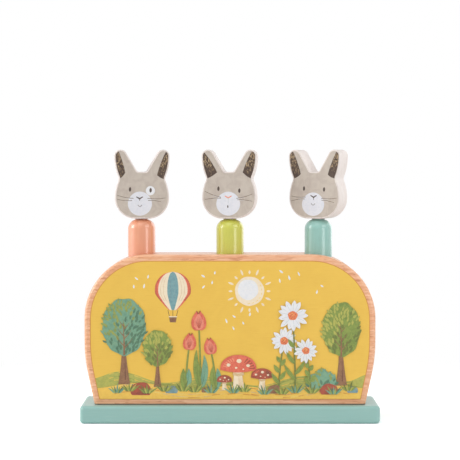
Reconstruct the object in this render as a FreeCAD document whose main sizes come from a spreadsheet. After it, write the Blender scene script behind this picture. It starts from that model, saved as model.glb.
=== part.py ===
# Pop-up rabbit toy: a beech block on a base board, with three pegs that stand on hidden springs.
# Every peg carries a rabbit head. Pressed down and let go, a peg jumps out of its bore.
# Millimetres and degrees. The origin is the centre of the base's underside, and the front faces -Y.
import FreeCAD, Part
import math
import os

import Sketcher
from FreeCAD import Placement, Rotation, Vector

doc = FreeCAD.newDocument("PopUpToy")

# Driving dimensions
sizes = {
    # base board, which stands out past the block all round
    "base_end_margin": 2.8,
    "base_side_margin": 8.0,
    "base_thickness": 12.8,
    "base_corner_radius": 3.0,
    "base_edge_radius": 2.5,
    # block: a loaf outline that leans out from its foot and turns over into a flat top
    "block_width": 209.4,
    "block_foot_inset": 7.2,
    "block_height": 108.0,
    "block_depth": 44.0,
    "block_flare_angle": 12.0,
    "block_flare_radius": 110.0,
    "block_corner_radius": 46.0,
    "block_edge_radius": 2.5,
    # three bores in a row
    "bore_pitch": 64.4,
    "bore_clearance": 0.9,
    "bore_mouth_radius": 1.2,
    "foot_pocket_diameter": 25.0,
    "foot_pocket_depth": 4.0,
    # printed panels on the block's two faces
    "print_border": 4.2,
    "print_top_border": 4.4,
    "print_foot_border": 3.8,
    "print_thickness": 0.2,
    # turned pegs
    "peg_diameter": 20.0,
    "peg_length": 82.0,
    "peg_exposed": 24.9,
    "peg_shoulder_radius": 7.0,
    "peg_foot_chamfer": 1.0,
    "neck_diameter": 9.5,
    "neck_length": 0.6,
    # rabbit heads, cut from board
    "head_thickness": 16.0,
    "head_width": 39.2,
    "head_height": 50.0,
    "head_edge_radius": 0.5,
    "cheek_radius": 14.9,
    "temple_radius": 32.0,
    "waist_radius": 4.2,
    "ear_side_radius": 39.0,
    "ear_tip_radius": 4.6,
    "ear_tip_spread": 30.9,
    "crown_height": 34.0,
    "crown_width": 4.6,
    "crown_radius": 2.0,
    "face_border": 1.0,
    # how far each head is turned about its peg
    "coral_turn_angle": 5.0,
    "lime_turn_angle": -5.0,
    "mint_turn_angle": -25.0,
    # dowels between pegs and heads
    "pin_diameter": 6.0,
    "pin_in_peg": 12.0,
    "pin_in_head": 12.0,
    "pin_clearance": 0.05,
    "pin_chamfer": 0.6,
    "blind_hole_gap": 0.5,
    # spring caps under the pegs
    "cap_clearance": 0.5,
    "cap_thickness": 6.0,
    "cap_spigot_length": 4.0,
    "cap_spigot_clearance": 0.5,
    "cap_chamfer": 0.6,
    # springs
    "spring_wire": 1.2,
    "spring_diameter": 17.0,
    "spring_foot_clearance": 0.5,
    "spring_end_gap": 0.1,
    "spring_turns": 10.0,
    "spring_dead_turns": 1.0,
    "spring_narrowing_turns": 0.5,
    # countersunk screws up through the base, midway between the bores
    "screw_diameter": 3.5,
    "screw_length": 32.0,
    "screw_head_diameter": 7.0,
    "screw_head_depth": 2.2,
    "screw_point_length": 3.0,
    "screw_slot_length": 4.2,
    "screw_slot_width": 1.0,
    "screw_slot_depth": 1.1,
    "screw_clearance": 0.25,
    "screw_pilot_clearance": 0.05,
    "screw_spacing_y": 26.0,
}
sheet = doc.addObject("Spreadsheet::Sheet", "Sizes")
for row, (alias, number) in enumerate(sizes.items(), start=1):
    sheet.set(f"A{row}", alias)
    sheet.set(f"B{row}", str(number))
    sheet.setAlias(f"B{row}", alias)
doc.recompute()

# Sizes and heights that follow from the driving dimensions, as formulas of the sheet
base_length = "(Sizes.block_width + 2 * Sizes.base_end_margin)"
base_depth = "(Sizes.block_depth + 2 * Sizes.base_side_margin)"
block_top = "(Sizes.base_thickness + Sizes.block_height)"
peg_top = f"({block_top} + Sizes.peg_exposed)"
peg_foot = f"({peg_top} - Sizes.peg_length)"
head_foot = f"({peg_top} + Sizes.neck_length)"
cap_foot = f"({peg_foot} - Sizes.cap_thickness)"
spring_foot = "(Sizes.base_thickness + Sizes.spring_end_gap)"
spring_length = f"({cap_foot} - Sizes.spring_end_gap - {spring_foot})"
bore_diameter = "(Sizes.peg_diameter + 2 * Sizes.bore_clearance)"
cap_diameter = f"({bore_diameter} - 2 * Sizes.cap_clearance)"
pin_hole_diameter = "(Sizes.pin_diameter + 2 * Sizes.pin_clearance)"
head_print_middle = "(Sizes.head_thickness + Sizes.print_thickness) / 2"
screw_cone = "atan((Sizes.screw_head_diameter - Sizes.screw_diameter) / 2 / Sizes.screw_head_depth)"

# Two sizes closer than this count as equal
near = 1e-3


def value(formula):
    return float(sheet.evalExpression(formula))


def new_body(label):
    body = doc.addObject("PartDesign::Body", label)
    body.Label = label
    return body


def place(body, x="0", y="0", z="0", turn=None):
    body.setExpression("Placement.Base.x", x)
    body.setExpression("Placement.Base.y", y)
    body.setExpression("Placement.Base.z", z)
    if turn:
        body.setExpression("Placement.Rotation.Angle", f"{turn} * 1 deg")


# A sketch on one of the body's own planes, lifted off it along the plane's normal
def new_sketch(body, role, name, lift="0"):
    sketch = body.newObject("Sketcher::SketchObject", name)
    plane = next(feature for feature in body.Origin.OriginFeatures if feature.Role == role)
    sketch.AttachmentSupport = [(plane, "")]
    sketch.MapMode = "FlatFace"
    sketch.setExpression("AttachmentOffset.Base.z", lift)
    return sketch


# A constraint whose value follows a formula of the sheet
def dimension(sketch, kind, formula, *where):
    size = math.radians(value(formula)) if kind == "Angle" else value(formula)
    number = sketch.addConstraint(Sketcher.Constraint(kind, *where, size))
    sketch.setExpression(f"Constraints[{number}]", formula)


# Puts a point of a curve at a place given by two formulas
def pin_point(sketch, curve, end, x, y):
    origin = (-1, 1)
    for kind, axis, formula in (("DistanceX", -2, x), ("DistanceY", -1, y)):
        if formula == "0":
            sketch.addConstraint(Sketcher.Constraint("PointOnObject", curve, end, axis))
        else:
            dimension(sketch, kind, formula, *origin, curve, end)


def draw_circle(sketch, diameter, x="0", y="0"):
    circle = Part.Circle(Vector(value(x), value(y), 0), Vector(0, 0, 1), value(diameter) / 2)
    curve = sketch.addGeometry(circle, False)
    dimension(sketch, "Diameter", diameter, curve)
    pin_point(sketch, curve, 3, x, y)


def draw_rectangle(sketch, width, height):
    x, y = value(width) / 2, value(height) / 2
    corners = [Vector(-x, -y, 0), Vector(x, -y, 0), Vector(x, y, 0), Vector(-x, y, 0)]
    for side in range(4):
        sketch.addGeometry(Part.LineSegment(corners[side], corners[(side + 1) % 4]), False)
    for side in range(4):
        sketch.addConstraint(Sketcher.Constraint("Coincident", side, 2, (side + 1) % 4, 1))
    for side, direction in enumerate(("Horizontal", "Vertical", "Horizontal", "Vertical")):
        sketch.addConstraint(Sketcher.Constraint(direction, side))
    sketch.addConstraint(Sketcher.Constraint("Symmetric", 0, 1, 2, 1, -1, 1))
    dimension(sketch, "DistanceX", width, 0, 1, 0, 2)
    dimension(sketch, "DistanceY", height, 1, 1, 1, 2)


# A closed polygon whose corners are pairs of formulas
def draw_polygon(sketch, corners):
    points = [Vector(value(x), value(y), 0) for x, y in corners]
    for side in range(len(points)):
        sketch.addGeometry(Part.LineSegment(points[side - 1], points[side]), False)
    for side, (x, y) in enumerate(corners):
        sketch.addConstraint(Sketcher.Constraint("Coincident", side, 2, (side + 1) % len(points), 1))
        pin_point(sketch, side, 2, x, y)


def line(start, end):
    return Part.LineSegment(start, end)


# An arc about a centre, anticlockwise from one angle to the other
def arc(center, radius, start_angle, end_angle):
    circle = Part.Circle(center, Vector(0, 0, 1), radius)
    return Part.ArcOfCircle(circle, math.radians(start_angle), math.radians(end_angle))


def angle_to(center, point):
    return math.degrees(math.atan2(point.y - center.y, point.x - center.x))


# Adds curves that follow each other round a closed loop; joints are smooth except at sharp ones
def draw_loop(sketch, curves, sharp):
    sketch.addGeometry(curves, False)
    for here in range(len(curves)):
        there = (here + 1) % len(curves)
        ends = [(a, b) for a in (1, 2) for b in (1, 2)]
        gaps = [sketch.getPoint(here, a).distanceToPoint(sketch.getPoint(there, b)) for a, b in ends]
        a, b = ends[gaps.index(min(gaps))]
        kind = "Coincident" if here in sharp else "Tangent"
        sketch.addConstraint(Sketcher.Constraint(kind, here, a, there, b))


# Right half of the loaf outline, shrunk by a border on its sides and by others at its top and foot
def draw_loaf_half(sketch, border, top_border, foot_border):
    lean = "(Sizes.block_flare_angle * 1 deg)"
    half_width = f"(Sizes.block_width / 2 - {border})"
    height = f"(Sizes.block_height - {top_border})"
    corner_radius = f"(Sizes.block_corner_radius - {border})"
    flare_radius = f"(Sizes.block_flare_radius - {border})"
    outer_foot_x = "(Sizes.block_width / 2 - Sizes.block_foot_inset)"
    foot_x = f"({outer_foot_x} + {foot_border} * tan({lean}) - {border} / cos({lean}))"

    angle = math.radians(value("Sizes.block_flare_angle"))
    x, top, low = value(half_width), value(height), value(foot_border)
    corner = Vector(x - value(corner_radius), top - value(corner_radius), 0)
    flare_end_x = x - value(flare_radius) * (1 - math.cos(angle))
    flare_end_y = low + (flare_end_x - value(foot_x)) / math.tan(angle)
    flare_end = Vector(flare_end_x, flare_end_y, 0)
    flare = flare_end + Vector(-math.cos(angle), math.sin(angle), 0) * value(flare_radius)
    foot, side = Vector(value(foot_x), low, 0), Vector(x, flare.y, 0)
    draw_loop(sketch, [
        line(Vector(0, low, 0), foot),
        line(foot, flare_end),
        arc(flare, value(flare_radius), -value("Sizes.block_flare_angle"), 0),
        line(side, Vector(x, corner.y, 0)),
        arc(corner, value(corner_radius), 0, 90),
        line(Vector(corner.x, top, 0), Vector(0, top, 0)),
        line(Vector(0, top, 0), Vector(0, low, 0)),
    ], sharp=(0, 5, 6))
    bottom, slope, bend, upright, shoulder, roof, middle = range(7)
    for flat in (bottom, roof):
        sketch.addConstraint(Sketcher.Constraint("Horizontal", flat))
    for steep in (upright, middle):
        sketch.addConstraint(Sketcher.Constraint("Vertical", steep))
    pin_point(sketch, bottom, 1, "0", foot_border)
    dimension(sketch, "DistanceX", foot_x, -1, 1, bottom, 2)
    dimension(sketch, "DistanceX", half_width, -1, 1, upright, 1)
    dimension(sketch, "DistanceY", height, -1, 1, roof, 1)
    dimension(sketch, "Angle", f"90 deg - {lean}", slope)
    dimension(sketch, "Radius", flare_radius, bend)
    dimension(sketch, "Radius", corner_radius, shoulder)


# Right half of the head outline, shrunk by a border: a round cheek, a slimmer temple, a nick, and an
# ear with a bowed outer side, a round tip and a straight inner side that runs into the flat crown
def draw_head_half(sketch, border):
    cheek_radius = f"(Sizes.cheek_radius - {border})"
    temple_radius = f"(Sizes.temple_radius - {border})"
    waist_radius = f"(Sizes.waist_radius + {border})"
    ear_side_radius = f"(Sizes.ear_side_radius - {border})"
    ear_tip_radius = f"(Sizes.ear_tip_radius - {border})"
    crown_radius = f"(Sizes.crown_radius + {border})"
    cheek_x = "(Sizes.head_width / 2 - Sizes.cheek_radius)"
    tip_x = "(Sizes.ear_tip_spread / 2)"
    tip_y = "(Sizes.head_height - Sizes.ear_tip_radius)"
    crown_x = "(Sizes.crown_width / 2)"
    crown_y = "(Sizes.crown_height + Sizes.crown_radius)"

    cheek = Vector(value(cheek_x), value("Sizes.cheek_radius"), 0)
    temple = cheek + Vector(value(cheek_radius) - value(temple_radius), 0, 0)
    tip = Vector(value(tip_x), value(tip_y), 0)
    ear_side = tip + Vector(value(ear_tip_radius) - value(ear_side_radius), 0, 0)
    crown = Vector(value(crown_x), value(crown_y), 0)

    # the nick's circle touches the temple's and the ear's from outside
    reach_low = value(temple_radius) + value(waist_radius)
    reach_high = value(ear_side_radius) + value(waist_radius)
    gap = ear_side - temple
    along = (reach_low ** 2 - reach_high ** 2 + gap.Length ** 2) / (2 * gap.Length)
    across = Vector(gap.y, -gap.x, 0).normalize() * math.sqrt(reach_low ** 2 - along ** 2)
    waist = temple + Vector(gap).normalize() * along + across
    temple_end = angle_to(temple, waist)
    ear_start = angle_to(ear_side, waist)

    # the ear's inner side touches the tip's circle and, on its other side, the crown's
    fall = crown - tip
    turn = math.degrees(math.acos((value(ear_tip_radius) + value(crown_radius)) / fall.Length))
    inner_angle = angle_to(tip, crown) % 360 - turn
    normal = Vector(math.cos(math.radians(inner_angle)), math.sin(math.radians(inner_angle)), 0)
    inner_start = tip + normal * value(ear_tip_radius)
    inner_end = crown - normal * value(crown_radius)
    chin = cheek - Vector(0, value(cheek_radius), 0)
    root = crown - Vector(0, value(crown_radius), 0)

    draw_loop(sketch, [
        line(Vector(0, chin.y, 0), chin),
        arc(cheek, value(cheek_radius), -90, 0),
        arc(temple, value(temple_radius), 0, temple_end),
        arc(waist, value(waist_radius), ear_start + 180, temple_end + 180),
        arc(ear_side, value(ear_side_radius), ear_start, 0),
        arc(tip, value(ear_tip_radius), 0, inner_angle),
        line(inner_start, inner_end),
        arc(crown, value(crown_radius), -90, inner_angle - 180),
        line(root, Vector(0, root.y, 0)),
        line(Vector(0, root.y, 0), Vector(0, chin.y, 0)),
    ], sharp=(8, 9))
    chin_line, cheek_arc, temple_arc, waist_arc, ear_arc, tip_arc, _, crown_arc, crown_line, middle = range(10)
    for flat in (chin_line, crown_line):
        sketch.addConstraint(Sketcher.Constraint("Horizontal", flat))
    sketch.addConstraint(Sketcher.Constraint("Vertical", middle))
    sketch.addConstraint(Sketcher.Constraint("PointOnObject", chin_line, 1, -2))
    # an arc's point 1 is its start, 2 its end and 3 its centre
    sketch.addConstraint(Sketcher.Constraint("Horizontal", cheek_arc, 3, cheek_arc, 2))
    sketch.addConstraint(Sketcher.Constraint("Horizontal", tip_arc, 3, tip_arc, 1))
    pin_point(sketch, cheek_arc, 3, cheek_x, "Sizes.cheek_radius")
    pin_point(sketch, tip_arc, 3, tip_x, tip_y)
    pin_point(sketch, crown_arc, 3, crown_x, crown_y)
    dimension(sketch, "Radius", cheek_radius, cheek_arc)
    dimension(sketch, "Radius", temple_radius, temple_arc)
    dimension(sketch, "Radius", waist_radius, waist_arc)
    dimension(sketch, "Radius", ear_side_radius, ear_arc)
    dimension(sketch, "Radius", ear_tip_radius, tip_arc)
    dimension(sketch, "Radius", crown_radius, crown_arc)


def add_pad(body, sketch, length, both_ways=False, backwards=False):
    pad = body.newObject("PartDesign::Pad", "Pad")
    pad.Profile = sketch
    pad.SideType = "Symmetric" if both_ways else "One side"
    pad.Reversed = backwards
    pad.setExpression("Length", length)
    doc.recompute()
    return pad


# Cuts a sketch into the body; a cut that takes nothing away is an error
def add_pocket(body, sketch, length=None, upwards=False):
    before = body.Shape.Volume
    pocket = body.newObject("PartDesign::Pocket", "Pocket")
    pocket.Profile = sketch
    pocket.Reversed = upwards
    if length:
        pocket.setExpression("Length", length)
    else:
        pocket.Type = "ThroughAll"
    doc.recompute()
    if body.Shape.Volume > before - near:
        raise ValueError(f"{pocket.Label} in {body.Label} cuts nothing")
    return pocket


def add_mirror(body, feature):
    mirror = body.newObject("PartDesign::Mirrored", "Mirrored")
    plane = next(plane for plane in body.Origin.OriginFeatures if plane.Role == "YZ_Plane")
    mirror.Originals = [feature]
    mirror.MirrorPlane = (plane, [""])
    body.Tip = mirror
    doc.recompute()
    return mirror


# Rounds or bevels the edges of the body that pass a test
def dress_edges(body, kind, size, test):
    names = [f"Edge{number}" for number, edge in enumerate(body.Shape.Edges, start=1) if test(edge)]
    before = body.Shape.Volume
    base = body.Tip
    feature = body.newObject(f"PartDesign::{kind}", kind)
    feature.Base = (base, names)
    feature.setExpression("Radius" if kind == "Fillet" else "Size", size)
    doc.recompute()
    if abs(body.Shape.Volume - before) < near:
        raise ValueError(f"{feature.Label} of {body.Label} changes nothing")
    return feature


# Edge tests, in the body's own frame before it is placed
def lies_at(axis, *places):
    def test(edge):
        low, high = (getattr(edge.BoundBox, axis + end) for end in ("Min", "Max"))
        return any(abs(low - at) < near and abs(high - at) < near for at in places)
    return test


def is_level(edge):
    return edge.BoundBox.ZLength < near


def is_upright(edge):
    return edge.BoundBox.XLength < near and edge.BoundBox.YLength < near


def is_circle(edge, diameter):
    curve = edge.Curve
    return isinstance(curve, Part.Circle) and abs(2 * curve.Radius - diameter) < near


def build_base():
    body = new_body("base_board")
    sketch = new_sketch(body, "XY_Plane", "BaseOutline")
    draw_rectangle(sketch, base_length, base_depth)
    add_pad(body, sketch, "Sizes.base_thickness")
    dress_edges(body, "Fillet", "Sizes.base_corner_radius", is_upright)
    rims = lies_at("Z", 0, value("Sizes.base_thickness"))
    dress_edges(body, "Fillet", "Sizes.base_edge_radius", rims)

    holes = new_sketch(body, "XY_Plane", "ScrewHoles")
    for x, y in screw_places():
        draw_circle(holes, "Sizes.screw_diameter", x, y)
    doc.recompute()
    before = body.Shape.Volume
    hole = body.newObject("PartDesign::Hole", "Hole")
    hole.Profile = holes
    hole.Reversed = True
    hole.DepthType = "ThroughAll"
    hole.HoleCutType = "Countersink"
    hole.HoleCutCustomValues = True
    hole.setExpression("Diameter", "Sizes.screw_diameter + 2 * Sizes.screw_clearance")
    hole.setExpression("HoleCutDiameter", "Sizes.screw_head_diameter + 2 * Sizes.screw_clearance")
    hole.setExpression("HoleCutCountersinkAngle", f"2 * {screw_cone}")
    doc.recompute()
    if body.Shape.Volume > before - near:
        raise ValueError("the screw holes cut nothing")
    return body


# The screws stand midway between the bores, in two rows
def screw_places():
    return [(f"{x} * Sizes.bore_pitch / 2", f"{y} * Sizes.screw_spacing_y / 2")
            for x in (-1, 1) for y in (-1, 1)]


def bore_x(place_in_row):
    return "0" if place_in_row == 0 else f"{place_in_row} * Sizes.bore_pitch"


def build_block():
    body = new_body("body_block")
    outline = new_sketch(body, "XZ_Plane", "BlockOutline")
    draw_loaf_half(outline, "0", "0", "0")
    pad = add_pad(body, outline, "Sizes.block_depth", both_ways=True)
    add_mirror(body, pad)
    half_depth = value("Sizes.block_depth") / 2
    on_face = lies_at("Y", -half_depth, half_depth)
    off_foot = lambda edge: on_face(edge) and edge.BoundBox.ZMax > near
    dress_edges(body, "Fillet", "Sizes.block_edge_radius", off_foot)

    bores = new_sketch(body, "XY_Plane", "Bores", lift="Sizes.block_height")
    for place_in_row in (-1, 0, 1):
        draw_circle(bores, bore_diameter, bore_x(place_in_row))
    add_pocket(body, bores)
    at_top = lies_at("Z", value("Sizes.block_height"))
    mouths = lambda edge: at_top(edge) and is_circle(edge, value(bore_diameter))
    dress_edges(body, "Fillet", "Sizes.bore_mouth_radius", mouths)

    feet = new_sketch(body, "XY_Plane", "SpringFootPockets")
    for place_in_row in (-1, 0, 1):
        draw_circle(feet, "Sizes.foot_pocket_diameter", bore_x(place_in_row))
    add_pocket(body, feet, "Sizes.foot_pocket_depth", upwards=True)

    pilots = new_sketch(body, "XY_Plane", "ScrewPilots")
    for x, y in screw_places():
        draw_circle(pilots, "Sizes.screw_diameter + 2 * Sizes.screw_pilot_clearance", x, y)
    pilot_depth = "Sizes.screw_length - Sizes.base_thickness + Sizes.blind_hole_gap"
    add_pocket(body, pilots, pilot_depth, upwards=True)
    place(body, z="Sizes.base_thickness")
    return body


# A printed panel on the block's face, front (-1) or back (1)
def build_block_print(label, side):
    body = new_body(label)
    sketch = new_sketch(body, "XZ_Plane", "PrintOutline")
    draw_loaf_half(sketch, "Sizes.print_border", "Sizes.print_top_border", "Sizes.print_foot_border")
    pad = add_pad(body, sketch, "Sizes.print_thickness", both_ways=True)
    add_mirror(body, pad)
    y = f"{side} * (Sizes.block_depth + Sizes.print_thickness) / 2"
    place(body, y=y, z="Sizes.base_thickness")
    return body


# Four countersunk screws in one group, their heads flush with the base's underside
def build_screws():
    body = new_body("base_screws")
    profile = new_sketch(body, "XZ_Plane", "ScrewProfile")
    head_radius = "Sizes.screw_head_diameter / 2"
    shank_radius = "Sizes.screw_diameter / 2"
    draw_polygon(profile, [
        ("0", "0"),
        (head_radius, "0"),
        (shank_radius, "Sizes.screw_head_depth"),
        (shank_radius, "Sizes.screw_length - Sizes.screw_point_length"),
        ("0", "Sizes.screw_length"),
    ])
    turned = body.newObject("PartDesign::Revolution", "Revolution")
    turned.Profile = profile
    turned.ReferenceAxis = (profile, ["V_Axis"])
    doc.recompute()
    slot = ("Sizes.screw_slot_length", "Sizes.screw_slot_width")
    for width, height in (slot, slot[::-1]):
        cross = new_sketch(body, "XY_Plane", "CrossSlot")
        draw_rectangle(cross, width, height)
        add_pocket(body, cross, "Sizes.screw_slot_depth", upwards=True)
    pattern = body.newObject("PartDesign::LinearPattern", "LinearPattern")
    pattern.TransformMode = "Whole shape"
    axes = {feature.Role: feature for feature in body.Origin.OriginFeatures}
    pattern.Direction = (axes["X_Axis"], [""])
    pattern.Direction2 = (axes["Y_Axis"], [""])
    pattern.Occurrences = 2
    pattern.Occurrences2 = 2
    pattern.setExpression("Length", "Sizes.bore_pitch")
    pattern.setExpression("Length2", "Sizes.screw_spacing_y")
    body.Tip = pattern
    place(body, *screw_places()[0])
    return body


def build_peg(colour, x):
    body = new_body(f"{colour}_peg")
    round_sketch = new_sketch(body, "XY_Plane", "PegRound")
    draw_circle(round_sketch, "Sizes.peg_diameter")
    add_pad(body, round_sketch, "Sizes.peg_length")
    dress_edges(body, "Fillet", "Sizes.peg_shoulder_radius", lies_at("Z", value("Sizes.peg_length")))
    dress_edges(body, "Chamfer", "Sizes.peg_foot_chamfer", lies_at("Z", 0))
    neck = new_sketch(body, "XY_Plane", "Neck", lift="Sizes.peg_length - Sizes.peg_shoulder_radius")
    draw_circle(neck, "Sizes.neck_diameter")
    add_pad(body, neck, "Sizes.peg_shoulder_radius + Sizes.neck_length")
    hole = new_sketch(body, "XY_Plane", "PinHole", lift="Sizes.peg_length + Sizes.neck_length")
    draw_circle(hole, pin_hole_diameter)
    add_pocket(body, hole, "Sizes.neck_length + Sizes.pin_in_peg + Sizes.blind_hole_gap")
    place(body, x, z=peg_foot)
    return body


def build_head(colour, x):
    body = new_body(f"{colour}_head")
    outline = new_sketch(body, "XZ_Plane", "HeadOutline")
    draw_head_half(outline, "0")
    pad = add_pad(body, outline, "Sizes.head_thickness", both_ways=True)
    add_mirror(body, pad)
    half = value("Sizes.head_thickness") / 2
    dress_edges(body, "Fillet", "Sizes.head_edge_radius", lies_at("Y", -half, half))
    hole = new_sketch(body, "XY_Plane", "PinHole")
    draw_circle(hole, pin_hole_diameter)
    add_pocket(body, hole, "Sizes.pin_in_head + Sizes.blind_hole_gap", upwards=True)
    place(body, x, z=head_foot, turn=f"Sizes.{colour}_turn_angle")
    return body


# A printed skin on the head's front (-1) or back (1)
def build_head_print(colour, name, side, x):
    body = new_body(f"{colour}_{name}")
    outline = new_sketch(body, "XZ_Plane", "SkinOutline", lift=f"{-side} * {head_print_middle}")
    draw_head_half(outline, "Sizes.face_border")
    pad = add_pad(body, outline, "Sizes.print_thickness", both_ways=True)
    add_mirror(body, pad)
    place(body, x, z=head_foot, turn=f"Sizes.{colour}_turn_angle")
    return body


# A dowel, half in the peg and half in the head
def build_pin(colour, x):
    body = new_body(f"{colour}_neck_pin")
    sketch = new_sketch(body, "XY_Plane", "PinRound")
    draw_circle(sketch, "Sizes.pin_diameter")
    add_pad(body, sketch, "Sizes.pin_in_peg + Sizes.neck_length + Sizes.pin_in_head")
    dress_edges(body, "Chamfer", "Sizes.pin_chamfer", is_level)
    place(body, x, z=f"{peg_top} - Sizes.pin_in_peg")
    return body


# A wooden plunger whose spigot sits in the spring's top coil
def build_cap(colour, x):
    body = new_body(f"{colour}_spring_cap")
    disc = new_sketch(body, "XY_Plane", "CapRound")
    draw_circle(disc, cap_diameter)
    add_pad(body, disc, "Sizes.cap_thickness")
    dress_edges(body, "Chamfer", "Sizes.cap_chamfer", is_level)
    spigot = new_sketch(body, "XY_Plane", "Spigot")
    draw_circle(spigot, "Sizes.spring_diameter - 2 * (Sizes.spring_wire + Sizes.cap_spigot_clearance)")
    add_pad(body, spigot, "Sizes.cap_spigot_length", backwards=True)
    foot = lies_at("Z", -value("Sizes.cap_spigot_length"))
    dress_edges(body, "Chamfer", "Sizes.cap_chamfer", foot)
    place(body, x, z=cap_foot)
    return body


# A compression spring: a wide foot coil for the pocket under the block, then a narrower body
def build_spring(colour, x):
    wire = value("Sizes.spring_wire")
    foot_radius = value("Sizes.foot_pocket_diameter / 2 - Sizes.spring_foot_clearance") - wire / 2
    body_radius = (value("Sizes.spring_diameter") - wire) / 2
    rise = value(spring_length) - wire
    turns = value("Sizes.spring_turns")
    dead_turns = value("Sizes.spring_dead_turns")
    steps_per_turn = 16
    pitch = (rise - 2 * dead_turns * wire) / (turns - 2 * dead_turns)
    points = []
    height = wire / 2
    steps = round(turns * steps_per_turn)
    for step in range(steps + 1):
        turn = step / steps_per_turn
        narrowing = min(max(turn - dead_turns, 0) / value("Sizes.spring_narrowing_turns"), 1)
        radius = foot_radius + (body_radius - foot_radius) * (1 - math.cos(math.pi * narrowing)) / 2
        angle = 2 * math.pi * turn
        points.append(Vector(radius * math.cos(angle), radius * math.sin(angle), height))
        at_end = turn < dead_turns or turn >= turns - dead_turns
        height += (wire if at_end else pitch) / steps_per_turn
    path = Part.BSplineCurve()
    path.interpolate(points)
    start = path.tangent(path.FirstParameter)[0]
    section = Part.Wire(Part.Circle(points[0], start, wire / 2).toShape())
    coil = Part.Wire(path.toShape()).makePipeShell([section], True, True)
    spring = doc.addObject("Part::Feature", f"{colour}_spring")
    spring.Label = f"{colour}_spring"
    spring.Shape = coil
    spring.Placement = Placement(Vector(value(x), 0, value(spring_foot)), Rotation())
    return spring


# Every sub-part, checked before any file is written
parts = [
    build_base(),
    build_block(),
    build_block_print("front_print", -1),
    build_block_print("back_print", 1),
    build_screws(),
]
for place_in_row, colour in zip((-1, 0, 1), ("coral", "lime", "mint")):
    x = bore_x(place_in_row)
    parts += [
        build_peg(colour, x),
        build_head(colour, x),
        build_head_print(colour, "face_print", -1, x),
        build_head_print(colour, "nape_print", 1, x),
        build_pin(colour, x),
        build_cap(colour, x),
        build_spring(colour, x),
    ]
doc.recompute()

for item in doc.Objects:
    if "Invalid" in item.State or "Error" in item.State:
        raise ValueError(f"{item.Label} failed: {item.State}")
for part in parts:
    if part.Shape.isNull() or not part.Shape.isValid():
        raise ValueError(f"{part.Label} has no valid shape")

os.makedirs("parts", exist_ok=True)
for part in parts:
    part.Shape.exportStep(f"parts/{part.Label}.step")
    print(f"{part.Label}: {len(part.Shape.Solids)} solids, {part.Shape.Volume / 1000:.2f} cm3")
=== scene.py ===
import math
import random

import bmesh
import bpy
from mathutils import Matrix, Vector
from mathutils.geometry import tessellate_polygon


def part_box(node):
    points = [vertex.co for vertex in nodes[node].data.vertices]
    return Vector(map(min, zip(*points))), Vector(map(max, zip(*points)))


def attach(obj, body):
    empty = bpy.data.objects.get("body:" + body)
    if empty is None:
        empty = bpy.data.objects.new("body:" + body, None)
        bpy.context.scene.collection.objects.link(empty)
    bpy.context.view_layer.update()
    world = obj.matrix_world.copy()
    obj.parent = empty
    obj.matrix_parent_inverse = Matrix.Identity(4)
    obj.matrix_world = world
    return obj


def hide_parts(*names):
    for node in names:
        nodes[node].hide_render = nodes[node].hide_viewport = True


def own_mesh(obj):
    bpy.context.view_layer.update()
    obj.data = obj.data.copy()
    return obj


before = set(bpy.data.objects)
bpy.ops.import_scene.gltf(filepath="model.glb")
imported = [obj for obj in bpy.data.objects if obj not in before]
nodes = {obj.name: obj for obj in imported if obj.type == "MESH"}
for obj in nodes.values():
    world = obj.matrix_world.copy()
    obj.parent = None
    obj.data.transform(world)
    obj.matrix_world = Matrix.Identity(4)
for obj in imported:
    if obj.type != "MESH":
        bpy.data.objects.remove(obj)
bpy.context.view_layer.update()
mm = 0.001
up = Vector((0, 0, 1))
pegColours = ["coral", "lime", "mint"]
print("frame loaded:", len(nodes), "nodes")


# camera
shot = {
    "stand": (0.0, -1.282, 0.178),   # where the camera stands, in metres
    "tiltDown": 1.795,                # degrees
    "lens": 137.6,
    "sensor": 36.0,
}


def addCamera():
    data = bpy.data.cameras.new("shotCamera")
    data.lens = shot["lens"]
    data.sensor_width = shot["sensor"]
    data.clip_start = 0.02
    camera = bpy.data.objects.new("shotCamera", data)
    camera.location = shot["stand"]
    camera.rotation_euler = (math.radians(90 - shot["tiltDown"]), 0, 0)
    bpy.context.scene.collection.objects.link(camera)
    bpy.context.scene.camera = camera


addCamera()
bpy.context.scene.view_settings.view_transform = "Standard"
print("camera placed")


# small helpers for shader nodes
def paint(red, green, blue):
    # screen values from 0 to 255, as a linear colour
    linear = []
    for value in (red / 255, green / 255, blue / 255):
        linear.append(value / 12.92 if value < 0.0404 else ((value + 0.055) / 1.055) ** 2.4)
    return (*linear, 1.0)


def add(tree, kind, inputs=None, **settings):
    # a new node; an input is either another node's socket or a plain value
    node = tree.nodes.new(kind)
    for key, value in settings.items():
        setattr(node, key, value)
    for key, value in (inputs or {}).items():
        if isinstance(value, bpy.types.NodeSocket):
            tree.links.new(value, node.inputs[key])
        else:
            node.inputs[key].default_value = value
    return node


def mixColours(tree, factor, first, second):
    return add(tree, "ShaderNodeMix", {0: factor, 6: first, 7: second}, data_type="RGBA").outputs[2]


def reckon(tree, operation, first, second):
    return add(tree, "ShaderNodeMath", {0: first, 1: second}, operation=operation).outputs[0]


def spread(tree, value, ends, results=(0.0, 1.0)):
    # a soft step from one result to the other, between two values
    inputs = {"Value": value, "From Min": ends[0], "From Max": ends[1],
              "To Min": results[0], "To Max": results[1]}
    return add(tree, "ShaderNodeMapRange", inputs, interpolation_type="SMOOTHSTEP").outputs["Result"]


def clouds(tree, vector, form):
    scale, detail, roughness, twist = form
    inputs = {"Vector": vector, "Scale": scale, "Detail": detail, "Roughness": roughness,
              "Distortion": twist}
    return add(tree, "ShaderNodeTexNoise", inputs).outputs["Fac"]


def combine(tree, operation, first, second):
    return add(tree, "ShaderNodeVectorMath", {0: first, 1: second}, operation=operation).outputs[0]


def lengthOf(tree, vector):
    return add(tree, "ShaderNodeVectorMath", {0: vector}, operation="LENGTH").outputs["Value"]


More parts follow.
